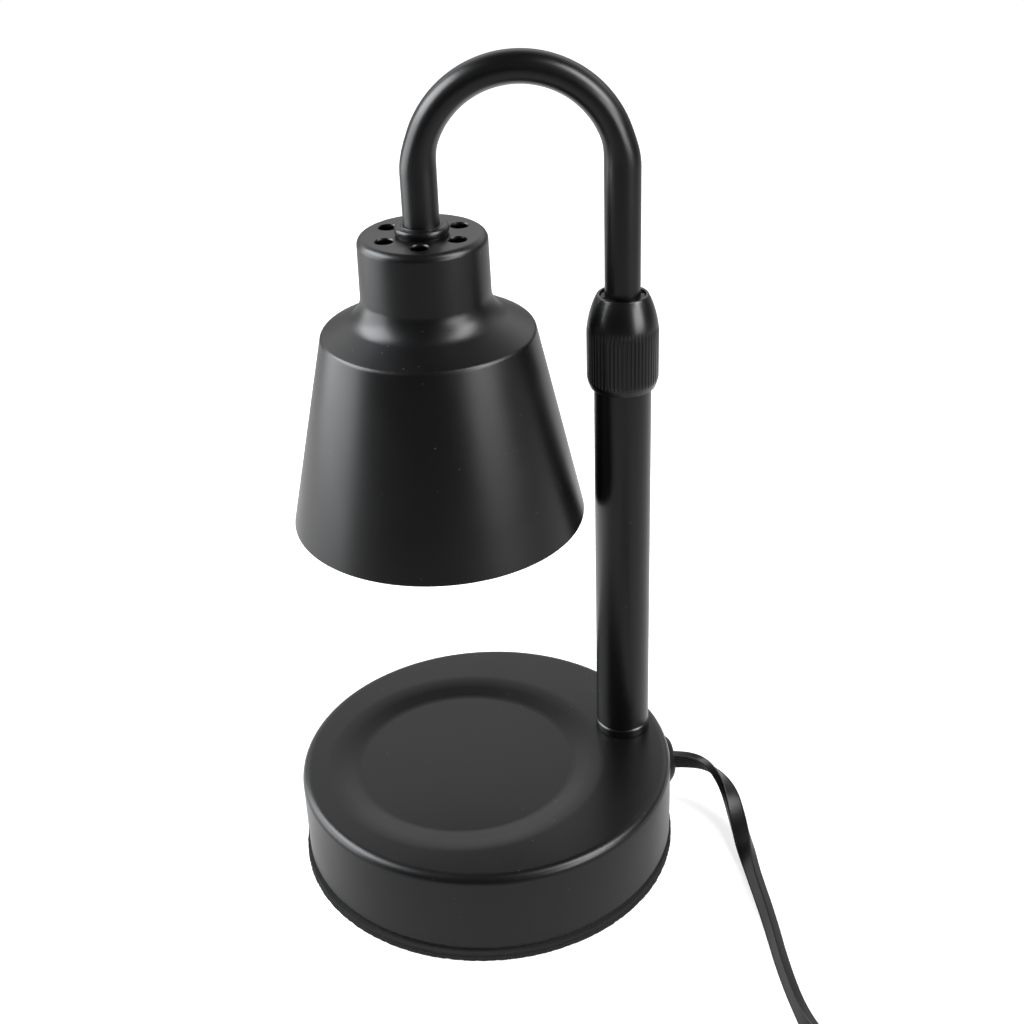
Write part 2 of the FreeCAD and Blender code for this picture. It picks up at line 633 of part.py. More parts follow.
def lock_nut():
    """Ribbed clamp nut whose ribs run out into a smooth dome, round the top of the post."""
    blank = turned([
        (0, NUT_FOOT_Z, 0), (NUT_FOOT_RADIUS, NUT_FOOT_Z, 0),
        (NUT_RIB_RADIUS, NUT_FOOT_Z + NUT_FOOT_RISE, NUT_FOOT_FILLET),
        (NUT_RIB_RADIUS, NUT_TOP_Z - NUT_DOME_DROP, NUT_DOME_FILLET),
        (NUT_LIP_RADIUS, NUT_TOP_Z, NUT_LIP_FILLET), (0, NUT_TOP_Z, 0),
    ], 0, POST_Y)
    seat = COLLET_FLANGE_Z + AXIAL_CLEARANCE
    slope = (COLLET_CONE_FOOT_RADIUS - COLLET_CONE_TOP_RADIUS) / (COLLET_TOP_Z - COLLET_FLANGE_Z)
    cone_foot = COLLET_CONE_FOOT_RADIUS + NUT_CONE_GAP - slope * AXIAL_CLEARANCE
    cone_top = COLLET_CONE_TOP_RADIUS + NUT_CONE_GAP
    bore = POST_RADIUS + RUN_CLEARANCE
    hollow = turned(plain([
        (0, NUT_FOOT_Z - OVERCUT), (bore, NUT_FOOT_Z - OVERCUT), (bore, seat), (cone_foot, seat),
        (cone_top, COLLET_TOP_Z), (cone_top, NUT_TOP_Z + OVERCUT), (0, NUT_TOP_Z + OVERCUT),
    ]), 0, POST_Y)
    return blank.common(nut_ribs()).cut(hollow).removeSplitter()


# ---- Arm --------------------------------------------------------------------------------------
def flattening(angle):
    """The share of its radius that the bent tube loses in the bend's plane, at an angle round it."""
    edge = min(angle, 180.0 - angle) / BEND_BLEND
    share = min(max(edge, 0.0), 1.0)
    return BEND_FLATTENING * share * share * (3 - 2 * share)


def bend_section(angle, radius):
    """The tube's section at an angle round the bend, as a closed wire."""
    middle = Vector(0, -BEND_RADIUS, BEND_START_Z)
    outward = Vector(0, math.cos(math.radians(angle)), math.sin(math.radians(angle)))
    loss = flattening(angle)
    squeeze = FreeCAD.Matrix()
    squeeze.scale(1 + loss / 4, 1 - loss, 1)
    section = Part.Wire(Part.makeCircle(radius)).transformGeometry(squeeze)
    section.rotate(Vector(0, 0, 0), Vector(1, 0, 0), angle)
    section.translate(middle + outward * BEND_RADIUS)
    return section


def bend(radius):
    """The U-bend of a tube or of its bore, as a solid."""
    steps = int(round(180.0 / BEND_STEP))
    sections = [bend_section(180.0 * step / steps, radius) for step in range(steps + 1)]
    return Part.makeLoft(sections, True, False)


def arm_core(radius, overrun):
    """The whole gooseneck as a solid rod of one radius, its long leg on the origin."""
    long_leg = disc(radius, ARM_FOOT_Z - overrun, BEND_START_Z)
    short_leg = disc(radius, SHADE_TOP_Z - overrun, BEND_START_Z, 0, -ARM_REACH)
    return long_leg.fuse([bend(radius), short_leg])


def inner_tube():
    """Gooseneck tube that slides in the post and carries the shade."""
    tube = arm_core(ARM_RADIUS, 0).cut(arm_core(ARM_BORE, OVERCUT))
    tube.translate(Vector(0, POST_Y, 0))
    return on_arm(tube)


def arm_lead():
    """Two-core lead through the gooseneck, from its lower end to the lampholder."""
    foot = Vector(0, POST_Y, LEAD_FOOT_Z)
    start = Vector(0, POST_Y, BEND_START_Z)
    top = Vector(0, POST_Y - BEND_RADIUS, BEND_START_Z + BEND_RADIUS)
    end = Vector(0, POST_Y - ARM_REACH, BEND_START_Z)
    holder = Vector(0, POST_Y - ARM_REACH, HOLDER_TOP_Z)
    path = Part.Wire([
        Part.LineSegment(foot, start).toShape(), Part.Arc(start, top, end).toShape(),
        Part.LineSegment(end, holder).toShape(),
    ])
    section = Part.Wire(Part.makeCircle(LEAD_RADIUS, foot, UP))
    return on_arm(path.makePipeShell([section], True, False))


def end_bushing():
    """Plastic bushing that keeps the tube's lower edge off the lead."""
    bore = LEAD_RADIUS + FIT_CLEARANCE
    neck = ARM_BORE - FIT_CLEARANCE
    return on_arm(turned(plain([
        (bore, END_BUSH_Z), (ARM_RADIUS, END_BUSH_Z), (ARM_RADIUS, ARM_FOOT_Z), (neck, ARM_FOOT_Z),
        (neck, ARM_FOOT_Z + END_BUSH_DEPTH), (bore, ARM_FOOT_Z + END_BUSH_DEPTH),
    ]), 0, POST_Y))


def guide_bush():
    """Bush that slides in the post while the arm turns in it."""
    outer = POST_BORE - RUN_CLEARANCE
    inner = ARM_RADIUS + RUN_CLEARANCE
    return ring(outer, inner, GUIDE_Z, GUIDE_Z + GUIDE_BUSH_LENGTH, 0, POST_Y)


def guide_rings():
    """Snap rings on the arm above and below its guide bush."""
    inner = ARM_RADIUS + FIT_CLEARANCE / 2
    low = GUIDE_Z - AXIAL_CLEARANCE - GUIDE_RING_THICKNESS
    high = GUIDE_Z + GUIDE_BUSH_LENGTH + AXIAL_CLEARANCE
    rings = [ring(GUIDE_RING_RADIUS, inner, z, z + GUIDE_RING_THICKNESS, 0, POST_Y) for z in (low, high)]
    return on_arm(Part.makeCompound(rings))


# ---- Shade ------------------------------------------------------------------------------------
def shade_axis_y():
    """Where the shade's axis is while the arm still points towards -Y."""
    return POST_Y - ARM_REACH


def shade_profile():
    """The shade's outer profile from its axis to its rim."""
    return [
        (0, SHADE_TOP_Z, 0), (NECK_TOP_RADIUS, SHADE_TOP_Z, NECK_TOP_FILLET),
        (NECK_BOTTOM_RADIUS, SHADE_TOP_Z - NECK_BOTTOM_DROP, NECK_BOTTOM_FILLET),
        (SHOULDER_RADIUS, SHADE_TOP_Z - SHOULDER_DROP, SHOULDER_FILLET), (RIM_RADIUS, RIM_Z, 0),
    ]


def shade():
    """Spun shade with a vented neck, a sloping shoulder and a conical skirt."""
    outside = shade_profile()
    inside = offset_profile(outside, SHADE_WALL)
    body = turned(outside + inside[::-1], 0, shade_axis_y())
    vent = disc(VENT_RADIUS, SHADE_PLATE_Z - OVERCUT, SHADE_TOP_Z + OVERCUT, 0, shade_axis_y() - VENT_CIRCLE)
    vents = around(vent, VENT_COUNT, 0, shade_axis_y(), VENT_START_ANGLE)
    bore = ARM_NIPPLE_RADIUS + FIT_CLEARANCE
    hole = disc(bore, SHADE_PLATE_Z - OVERCUT, SHADE_TOP_Z + OVERCUT, 0, shade_axis_y())
    return on_arm(body.cut(vents + [hole]))


def shade_collar():
    """Beaded collar round the tube where it meets the shade."""
    low = SHADE_TOP_Z
    high = SHADE_TOP_Z + COLLAR_HEIGHT
    bore = ARM_RADIUS + FIT_CLEARANCE
    bead = (COLLAR_HEIGHT - COLLAR_UNDERCUT) / 2
    return on_arm(turned([
        (bore, low, 0), (COLLAR_FOOT_RADIUS, low, 0), (COLLAR_FOOT_RADIUS, low + COLLAR_UNDERCUT, 0),
        (COLLAR_RADIUS, low + COLLAR_UNDERCUT, 0), (COLLAR_RADIUS, high, bead), (bore + COLLAR_LIP, high, 0),
        (bore, high - COLLAR_LIP / 2, 0),
    ], 0, shade_axis_y()))


def arm_nipple():
    """Hollow threaded rod that holds the shade and the lampholder's bracket to the tube."""
    high = SHADE_TOP_Z + ARM_NIPPLE_RISE
    return on_arm(ring(ARM_NIPPLE_RADIUS, ARM_NIPPLE_BORE, ARM_NIPPLE_Z, high, 0, shade_axis_y()))


def shade_washer():
    """Washer under the shade's top."""
    low = SHADE_PLATE_Z - SHADE_WASHER_THICKNESS
    bore = ARM_NIPPLE_RADIUS + FIT_CLEARANCE
    return on_arm(ring(SHADE_WASHER_RADIUS, bore, low, SHADE_PLATE_Z, 0, shade_axis_y()))


def shade_nut():
    """Nut that clamps the shade and the bracket."""
    bore = ARM_NIPPLE_RADIUS + FIT_CLEARANCE
    return on_arm(hex_nut(SHADE_NUT_FLATS, bore, SHADE_NUT_Z, BRACKET_Z, 0, shade_axis_y()))


# ---- Lampholder and bulb ----------------------------------------------------------------------
def bracket_side():
    """Half the width between the bracket's legs."""
    return HOLDER_RADIUS + FIT_CLEARANCE


def holder_screw_z():
    """The height of the screws through the bracket's legs."""
    return HOLDER_TOP_Z - HOLDER_SCREW_DROP


def between_vents(shape):
    """A shape built across the arm, turned so that it lies between the shade's vents."""
    placed = shape.copy()
    placed.rotate(Vector(0, shade_axis_y(), 0), UP, 90)
    return placed


def holder_bracket():
    """Bent steel strip whose two legs hold the lampholder."""
    y = shade_axis_y()
    side = bracket_side()
    foot = holder_screw_z() - BRACKET_WIDTH / 2
    web = box((2 * (side + BRACKET_THICKNESS), BRACKET_WIDTH, BRACKET_THICKNESS), (0, y), BRACKET_Z)
    leg = (BRACKET_THICKNESS, BRACKET_WIDTH, BRACKET_Z - foot)
    legs = [box(leg, (sign * (side + BRACKET_THICKNESS / 2), y), foot) for sign in (-1, 1)]
    strip = web.fuse(legs)
    strip = strip.cut(disc(ARM_NIPPLE_RADIUS + FIT_CLEARANCE, BRACKET_Z - OVERCUT, SHADE_PLATE_Z, 0, y))
    start = Vector(-2 * side, y, holder_screw_z())
    end = Vector(2 * side, y, holder_screw_z())
    return on_arm(between_vents(strip.cut(rod(start, end, SCREW_RADIUS + FIT_CLEARANCE)).removeSplitter()))


def holder_screws():
    """Two screws through the bracket's legs into the lampholder."""
    y = shade_axis_y()
    z = holder_screw_z()
    outside = bracket_side() + BRACKET_THICKNESS
    solids = []
    for sign in (-1, 1):
        seat = Vector(sign * outside, y, z)
        head = rod(seat, Vector(sign * (outside + SCREW_HEAD_HEIGHT), y, z), SCREW_HEAD_RADIUS)
        shank = rod(Vector(sign * (outside - HOLDER_SCREW_LENGTH), y, z), seat, SCREW_RADIUS)
        solids.append(head.fuse(shank))
    return on_arm(between_vents(Part.makeCompound(solids)))


def pin_track(radius, low, high):
    """The curved way of one bulb pin, from where it enters to where it is locked."""
    centre = Vector(0, shade_axis_y(), low)
    locked = direction(0)
    middle = direction(-BULB_TURN / 2)
    entry = direction(-BULB_TURN)
    far = PIN_OFFSET + radius
    near = PIN_OFFSET - radius
    entry_tip = entry * PIN_OFFSET + direction(-BULB_TURN - 90) * radius
    locked_tip = locked * PIN_OFFSET + direction(90) * radius
    edges = [
        Part.Arc(centre + locked * far, centre + middle * far, centre + entry * far).toShape(),
        Part.Arc(centre + entry * far, centre + entry_tip, centre + entry * near).toShape(),
        Part.Arc(centre + entry * near, centre + middle * near, centre + locked * near).toShape(),
        Part.Arc(centre + locked * near, centre + locked_tip, centre + locked * far).toShape(),
    ]
    return Part.Face(Part.Wire(edges)).extrude(UP * (high - low))


def pin_slot():
    """One pin's slot: a hole for its head, a narrow way for its shank and a wide way above."""
    narrow = PIN_RADIUS + PIN_SLOT_GAP
    wide = PIN_HEAD_RADIUS + PIN_SLOT_GAP
    ledge = BULB_TOP_Z + PIN_LENGTH - PIN_HEAD_HEIGHT - PIN_SLOT_GAP
    mouth = HOLDER_Z - OVERCUT
    top = HOLDER_Z + PIN_SLOT_DEPTH
    entry = direction(-BULB_TURN) * PIN_OFFSET
    hole = disc(wide + FIT_CLEARANCE, mouth, top, entry.x, shade_axis_y() + entry.y)
    return hole.fuse([pin_track(narrow, mouth, top), pin_track(wide, ledge, top)])


def lampholder():
    """Ceramic twist-lock lampholder with two curved pin slots."""
    y = shade_axis_y()
    z = holder_screw_z()
    body = turned([
        (0, HOLDER_Z, 0), (HOLDER_RADIUS, HOLDER_Z, HOLDER_EDGE), (HOLDER_RADIUS, HOLDER_TOP_Z, HOLDER_EDGE),
        (0, HOLDER_TOP_Z, 0),
    ], 0, y)
    reach = bracket_side() + BRACKET_THICKNESS - HOLDER_SCREW_LENGTH - FIT_CLEARANCE
    start = Vector(reach, y, z)
    end = Vector(HOLDER_RADIUS + OVERCUT, y, z)
    bores = around(rod(start, end, SCREW_RADIUS + FIT_CLEARANCE), 2, 0, y)
    body = between_vents(body.cut(bores))
    return on_arm(body.cut(around(pin_slot(), 2, 0, y)))


def bulb_pins():
    """The bulb's two headed pins."""
    top = BULB_TOP_Z + PIN_LENGTH
    neck = top - PIN_HEAD_HEIGHT
    corners = plain([
        (0, BULB_TOP_Z), (PIN_RADIUS, BULB_TOP_Z), (PIN_RADIUS, neck), (PIN_HEAD_RADIUS, neck),
        (PIN_HEAD_RADIUS, top), (0, top),
    ])
    return on_arm(Part.makeCompound([turned(corners, sign * PIN_OFFSET, shade_axis_y()) for sign in (-1, 1)]))


def bulb_base():
    """The bulb's ceramic base."""
    return on_arm(turned([
        (0, REFLECTOR_TOP_Z, 0), (BULB_BASE_RADIUS, REFLECTOR_TOP_Z, 0),
        (BULB_BASE_RADIUS, BULB_TOP_Z, HOLDER_EDGE), (0, BULB_TOP_Z, 0),
    ], 0, shade_axis_y()))


def bulb_reflector():
    """The bulb's bowl-shaped glass reflector, open at its face."""
    top = REFLECTOR_TOP_Z
    rim = BULB_FACE_Z + BULB_RIM_HEIGHT
    waist = (BULB_BASE_RADIUS + BULB_FACE_RADIUS) / 2
    belly = (top + 2 * rim) / 3
    outside = [
        (BULB_THROAT_RADIUS, top, 0), (BULB_BASE_RADIUS, top, 0),
        (waist + BULB_WALL, belly + BULB_WALL, BULB_FACE_RADIUS), (BULB_FACE_RADIUS, rim, 0),
        (BULB_FACE_RADIUS, BULB_FACE_Z, 0),
    ]
    inside = [
        (BULB_FACE_RADIUS - BULB_WALL, BULB_FACE_Z, 0), (BULB_FACE_RADIUS - BULB_WALL, rim, 0),
        (waist, belly, BULB_FACE_RADIUS - BULB_WALL), (BULB_THROAT_RADIUS, top - BULB_WALL, 0),
    ]
    return on_arm(turned(outside + inside, 0, shade_axis_y()))


def bulb_lens():
    """The clear front glass, held in the reflector's rim."""
    radius = BULB_FACE_RADIUS - BULB_WALL - FIT_CLEARANCE
    return on_arm(disc(radius, BULB_FACE_Z, BULB_FACE_Z + BULB_LENS_THICKNESS, 0, shade_axis_y()))


def bulb_capsule():
    """The halogen capsule inside the reflector, seated in the base."""
    tip = REFLECTOR_TOP_Z - CAPSULE_LENGTH
    return on_arm(turned([
        (0, tip, 0), (CAPSULE_RADIUS, tip, CAPSULE_TIP_FILLET), (CAPSULE_RADIUS, REFLECTOR_TOP_Z, 0),
        (0, REFLECTOR_TOP_Z, 0),
    ], 0, shade_axis_y()))


# ---- Wiring in the base -----------------------------------------------------------------------
def outlet_frame(shape):
    """A shape built about +Z from the shell's axis, turned to lie along the cord's outlet."""
    placed = shape.copy()
    placed.rotate(Vector(0, 0, 0), Vector(0, 1, 0), 90)
    placed.rotate(Vector(0, 0, 0), UP, 90 + CORD_TURN)
    placed.translate(Vector(0, 0, CORD_OUTLET_Z))
    return placed


def strain_relief():
    """Snap-in bushing that grips the cord in the shell's wall."""
    face = SHELL_RADIUS + RELIEF_FLANGE_HEIGHT
    back = SHELL_INNER_RADIUS - RELIEF_NECK_LENGTH
    bore = CORD_RADIUS + FIT_CLEARANCE
    barb = RELIEF_NECK_RADIUS + RELIEF_SNAP
    snap = math.sqrt(SHELL_INNER_RADIUS ** 2 - barb ** 2) - FIT_CLEARANCE
    return outlet_frame(turned([
        (bore, back, 0), (RELIEF_NECK_RADIUS - RELIEF_SNAP, back, 0), (barb, snap - RELIEF_BARB_LENGTH, 0),
        (barb, snap, 0), (RELIEF_NECK_RADIUS, snap, 0), (RELIEF_NECK_RADIUS, SHELL_RADIUS, 0),
        (RELIEF_FLANGE_RADIUS, SHELL_RADIUS, 0), (RELIEF_FLANGE_RADIUS, face, RELIEF_FILLET), (bore, face, 0),
    ]))


def terminal_top_z():
    """The top of the terminal block."""
    return BALLAST_TOP_Z + TERMINAL_SIZE[2]


def terminal_discs(radius, high):
    """An upright cylinder at each pole of the terminal block, from its screws' feet to a height."""
    low = terminal_top_z() - TERMINAL_SCREW_HEIGHT
    return [disc(radius, low, high, sign * TERMINAL_POLE_PITCH / 2, TERMINAL_Y) for sign in (-1, 1)]


def terminal_block():
    """Two-pole terminal block on the ballast, where the cord and the lamp's lead are joined."""
    block = box(TERMINAL_SIZE, (0, TERMINAL_Y), BALLAST_TOP_Z)
    return block.cut(terminal_discs(TERMINAL_SCREW_RADIUS + FIT_CLEARANCE, terminal_top_z() + OVERCUT))


def terminal_screws():
    """The block's two clamping screws."""
    return Part.makeCompound(terminal_discs(TERMINAL_SCREW_RADIUS, terminal_top_z()))


def tube_through(points, radius):
    """A round tube along straight runs joined by tangent arcs, and the arcs' radii."""
    path = [Vector(*point) for point in points]
    edges = []
    radii = []
    start = path[0]
    for before, corner, after in zip(path, path[1:], path[2:]):
        one = corner - before
        two = after - corner
        half_turn = one.getAngle(two) / 2
        arc_radius = 0.45 * min(one.Length, two.Length) / math.tan(half_turn)
        first, middle, last = round_corner(before, corner, after, arc_radius)
        edges.append(Part.LineSegment(start, first).toShape())
        edges.append(Part.Arc(first, middle, last).toShape())
        start = last
        radii.append(arc_radius)
    edges.append(Part.LineSegment(start, path[-1]).toShape())
    wire = Part.Wire(edges)
    section = Part.Wire(Part.makeCircle(radius, path[0], path[1] - path[0]))
    tube = wire.makePipeShell([section], True, False)
    share = tube.Volume / (math.pi * radius * radius * wire.Length)
    print(f"tube length {wire.Length:.1f} volume share {share:.4f} radii {[round(r) for r in radii]}")
    return tube


def cord_tail():
    """The cord's inner end, through the strain relief to the terminal block."""
    out = outlet_direction()
    level = Vector(0, 0, CORD_OUTLET_Z)
    face = SHELL_RADIUS + RELIEF_FLANGE_HEIGHT
    block_edge = TERMINAL_Y + TERMINAL_SIZE[1] / 2
    end = Vector(terminal_wire_x(), block_edge, BALLAST_TOP_Z + TERMINAL_SIZE[2] / 2)
    inside = level + out * (face - CORD_TAIL_STRAIGHT)
    approach = end + Vector(0, CORD_TAIL_STRAIGHT * 2 / 3, 0)
    return tube_through([tuple(level + out * face), tuple(inside), tuple(approach), tuple(end)], CORD_RADIUS)


def terminal_wire_x():
    """How far to each side of the block's middle its leads enter."""
    return TERMINAL_POLE_PITCH / 2 + LEAD_RADIUS / 2


def base_lead():
    """The lamp's lead from the terminal block, up through the nipple into the post."""
    block_edge = TERMINAL_Y + TERMINAL_SIZE[1] / 2
    z = BALLAST_TOP_Z + LEAD_RADIUS + FIT_CLEARANCE
    x = -terminal_wire_x()
    points = [
        (x, block_edge, z), (x, (block_edge + POST_Y) / 2 - LEAD_RADIUS, z), (0, POST_Y, z),
        (0, POST_Y, LEAD_TOP_Z),
    ]
    return lead_with_riser(points)


def lead_with_riser(points):
    """A lead with a bent start and an upright rise at its end."""
    path = [Vector(*point) for point in points]
    bend_radius = 2 * LEAD_RADIUS
    edges = []
    start = path[0]
    for before, corner, after in zip(path[:-2], path[1:-1], path[2:]):
        first, middle, last = round_corner(before, corner, after, bend_radius)
        edges.append(Part.LineSegment(start, first).toShape())
        edges.append(Part.Arc(first, middle, last).toShape())
        start = last
    edges.append(Part.LineSegment(start, path[-1]).toShape())
    section = Part.Wire(Part.makeCircle(LEAD_RADIUS, path[0], path[1] - path[0]))
    return Part.Wire(edges).makePipeShell([section], True, False)


def slack_lead():
    """The lead's spare length in the post, which opens and closes like a spring as the arm slides."""
    return disc(LEAD_SLACK_RADIUS, LEAD_TOP_Z, LEAD_FOOT_Z, 0, POST_Y)


# ---- Mains cord and what is on it -------------------------------------------------------------
def dimmer_heading():
    """The heading of the dimmer's long axis."""
    return heading(CORD_RUN[-1], CORD_LINK[0])


def level_edges(shape, height):
    """A shape's edges that lie level at a height."""
    return [edge for edge in shape.Edges
            if abs(edge.BoundBox.ZMin - height) < TOUCHING and edge.BoundBox.ZLength < TOUCHING]


def rounded_slab(length, width, low, high, fillet):
    """A slab in the dimmer's frame with its upright edges rounded."""
    slab = box((length, width, high - low), (DIMMER_LENGTH / 2, 0), low)
    upright = [edge for edge in slab.Edges if edge.BoundBox.ZLength > high - low - TOUCHING]
    return slab.makeFillet(fillet, upright)


def dimmer_cavity(low, high):
    """The room inside the dimmer's case between two heights."""
    return rounded_slab(DIMMER_LENGTH - 2 * DIMMER_WALL, DIMMER_WIDTH - 2 * DIMMER_WALL, low, high,
                        DIMMER_FILLET - DIMMER_WALL)


def dimmer_screw_centres():
    """Where the dimmer's two screws are, in its own frame."""
    return [(DIMMER_LENGTH / 2 + sign * DIMMER_SCREW_INSET, 0) for sign in (-1, 1)]


def dimmer_half(low, high, outside, fillet, cavity):
    """One half of the dimmer's case, with its outer edge rounded and posts for the screws."""
    body = rounded_slab(DIMMER_LENGTH, DIMMER_WIDTH, low, high, DIMMER_FILLET)
    body = body.makeFillet(fillet, level_edges(body, outside)).cut(cavity)
    post_low = max(low, DIMMER_WALL)
    post_high = min(high, DIMMER_HEIGHT - DIMMER_WALL)
    return body.fuse([disc(STUD_RADIUS, post_low, post_high, x, y) for x, y in dimmer_screw_centres()])


def laid_dimmer(shape):
    """A shape built in the dimmer's frame, laid at the end of the cord's run."""
    return laid(shape, CORD_RUN[-1], dimmer_heading())


def dimmer_base():
    """Lower half of the dimmer's case, with posts for its screws."""
    cavity = dimmer_cavity(DIMMER_WALL, DIMMER_PARTING + OVERCUT)
    body = dimmer_half(0, DIMMER_PARTING, 0, DIMMER_FOOT_FILLET, cavity)
    return laid_dimmer(body.cut(screw_holes(dimmer_screw_centres(), 0, DIMMER_PARTING + OVERCUT)))


def dimmer_screw_length():
    """The length of the screws that hold the dimmer's halves together."""
    return DIMMER_PARTING + SCREW_LENGTH / 2


def dimmer_cover():
    """Upper half of the dimmer's case, with the knob's hole."""
    cavity = dimmer_cavity(DIMMER_PARTING - OVERCUT, DIMMER_HEIGHT - DIMMER_WALL)
    body = dimmer_half(DIMMER_PARTING, DIMMER_HEIGHT, DIMMER_HEIGHT, DIMMER_TOP_FILLET, cavity)
    body = body.cut(screw_holes(dimmer_screw_centres(), 0, dimmer_screw_length()))
    radius = KNOB_SHAFT_RADIUS + HOLE_CLEARANCE
    return laid_dimmer(body.cut(disc(radius, DIMMER_PARTING, DIMMER_HEIGHT + OVERCUT, DIMMER_LENGTH / 2, 0)))


def dimmer_screws():
    """Two screws that hold the case together from below."""
    return laid_dimmer(screws(dimmer_screw_centres(), 0, dimmer_screw_length()))


def dimmer_board():
    """The dimmer's circuit board, held between the case's walls."""
    width = DIMMER_WIDTH - 2 * (DIMMER_WALL + FIT_CLEARANCE)
    size = (DIMMER_BOARD_LENGTH, width, DIMMER_BOARD_THICKNESS)
    return laid_dimmer(box(size, (DIMMER_LENGTH / 2, 0), DIMMER_BOARD_Z))


def dimmer_board_top():
    """The height of the board's upper face."""
    return DIMMER_BOARD_Z + DIMMER_BOARD_THICKNESS


def dimmer_pot():
    """The potentiometer that the knob turns."""
    return laid_dimmer(box(DIMMER_POT_SIZE, (DIMMER_LENGTH / 2, 0), dimmer_board_top()))


def dimmer_knob():
    """Fluted knob and its shaft."""
    x = DIMMER_LENGTH / 2
    low = DIMMER_HEIGHT + KNOB_LIFT
    high = low + KNOB_HEIGHT
    shaft_foot = dimmer_board_top() + DIMMER_POT_SIZE[2] + KNOB_LIFT
    knob = turned([(0, low, 0), (KNOB_RADIUS, low, 0), (KNOB_RADIUS, high, KNOB_FILLET), (0, high, 0)], x, 0)
    flute = disc(KNOB_FLUTE_RADIUS, low - OVERCUT, high + OVERCUT, x + KNOB_RADIUS, 0)
    knob = knob.cut(around(flute, KNOB_FLUTES, x, 0))
    return laid_dimmer(knob.fuse(disc(KNOB_SHAFT_RADIUS, shaft_foot, low, x, 0)))


def coil_ring(grown):
    """The coil's outer shape, grown all over by a thickness."""
    inner = COIL_INNER_RADIUS - grown
    outer = COIL_OUTER_RADIUS + grown
    low = TIE_THICKNESS - grown
    high = TIE_THICKNESS + COIL_HEIGHT + grown
    fillet = COIL_FILLET + grown
    corners = [(inner, low, fillet), (outer, low, fillet), (outer, high, fillet), (inner, high, fillet)]
    return turned(corners, *COIL_CENTRE)


def coil_tie():
    """The tie round the coiled cord."""
    band = coil_ring(TIE_THICKNESS).cut(coil_ring(0))
    reach = 2 * COIL_OUTER_RADIUS
    slab = box((reach, TIE_WIDTH, reach), (reach / 2, 0), -OVERCUT)
    return band.common(laid(slab, COIL_CENTRE, TIE_ANGLE))


def plug_axis_z():
    """The height of the plug's axis when it lies on its wide side."""
    return PLUG_HEIGHT / 2


def plug_body():
    """Moulded plug body with a round neck for the cord."""
    start = PLUG_NECK_LENGTH
    length = PLUG_LENGTH - start
    block = box((length, PLUG_WIDTH, PLUG_HEIGHT), ((PLUG_LENGTH + start) / 2, 0), 0)
    long_edges = [edge for edge in block.Edges if edge.BoundBox.XLength > length - TOUCHING]
    block = block.makeFillet(PLUG_FILLET, long_edges)
    neck = rod(Vector(0, 0, plug_axis_z()), Vector(start, 0, plug_axis_z()), PLUG_NECK_RADIUS)
    body = block.fuse(neck)
    for sign in (-1, 1):
        body = body.cut(blade(sign, FIT_CLEARANCE))
    return laid(body, CORD_END[-1], heading(CORD_END[-2], CORD_END[-1]))


def blade(sign, gap):
    """One flat blade of the plug, or with a gap the slot that it sits in."""
    size = (BLADE_LENGTH + BLADE_ROOT + 2 * gap, BLADE_THICKNESS + 2 * gap, BLADE_WIDTH + 2 * gap)
    centre = (PLUG_LENGTH + (BLADE_LENGTH - BLADE_ROOT) / 2, sign * BLADE_PITCH / 2)
    return box(size, centre, plug_axis_z() - size[2] / 2)


def plug_blades():
    """The plug's two flat blades."""
    solids = [blade(sign, 0) for sign in (-1, 1)]
    return laid(Part.makeCompound(solids), CORD_END[-1], heading(CORD_END[-2], CORD_END[-1]))


NODES = {
    "base_shell": base_shell,
    "shell_studs": shell_studs,
    "bottom_plate": bottom_plate,
    "plate_screws": lambda: screws(stud_centres(), PLATE_Z, SCREW_LENGTH),
    "foot_pad": foot_pad,
    "ballast_weight": ballast_weight,
    "ballast_screws": lambda: screws(ballast_screw_centres(), PLATE_Z, SCREW_LENGTH),
    "post_foot_ring": post_foot_ring,
    "post_nipple": post_nipple,
    "post_washer": post_washer,
    "post_nut": post_nut,
    "outer_tube": outer_tube,
    "collet": collet,
    "lock_nut": lock_nut,
    "guide_bush": guide_bush,
    "guide_rings": guide_rings,
    "inner_tube": inner_tube,
    "end_bushing": end_bushing,
    "arm_lead": arm_lead,
    "shade": shade,
    "shade_collar": shade_collar,
    "arm_nipple": arm_nipple,
    "shade_washer": shade_washer,
    "shade_nut": shade_nut,
    "holder_bracket": holder_bracket,
    "holder_screws": holder_screws,
    "lampholder": lampholder,
    "bulb_pins": bulb_pins,
    "bulb_base": bulb_base,
    "bulb_reflector": bulb_reflector,
    "bulb_lens": bulb_lens,
    "bulb_capsule": bulb_capsule,
    "strain_relief": strain_relief,
    "terminal_block": terminal_block,
    "terminal_screws": terminal_screws,
    "cord_tail": cord_tail,
    "base_lead": base_lead,
    "slack_lead": slack_lead,
    "cord_run": lambda: tube_through(CORD_RUN, CORD_RADIUS),
    "cord_link": lambda: tube_through(CORD_LINK, CORD_RADIUS),
    "cord_coil": lambda: coil_ring(0),
    "coil_tie": coil_tie,
    "cord_end": lambda: tube_through(CORD_END, CORD_RADIUS),
    "dimmer_base": dimmer_base,
    "dimmer_cover": dimmer_cover,
    "dimmer_screws": dimmer_screws,
    "dimmer_board": dimmer_board,
    "dimmer_pot": dimmer_pot,
    "dimmer_knob": dimmer_knob,
    "plug_body": plug_body,
    "plug_blades": plug_blades,
}


def main():
    """Builds every node and writes it as one STEP file."""
    os.makedirs("parts", exist_ok=True)
    for name, make in NODES.items():
        shape = make()
        box_of = shape.BoundBox
        extent = f"{box_of.XLength:.1f} x {box_of.YLength:.1f} x {box_of.ZLength:.1f}"
        print(f"{name:16s} valid {shape.isValid()} solids {len(shape.Solids)} volume {shape.Volume:.1f} {extent}")
        shape.exportStep(os.path.join("parts", name + ".step"))


main()
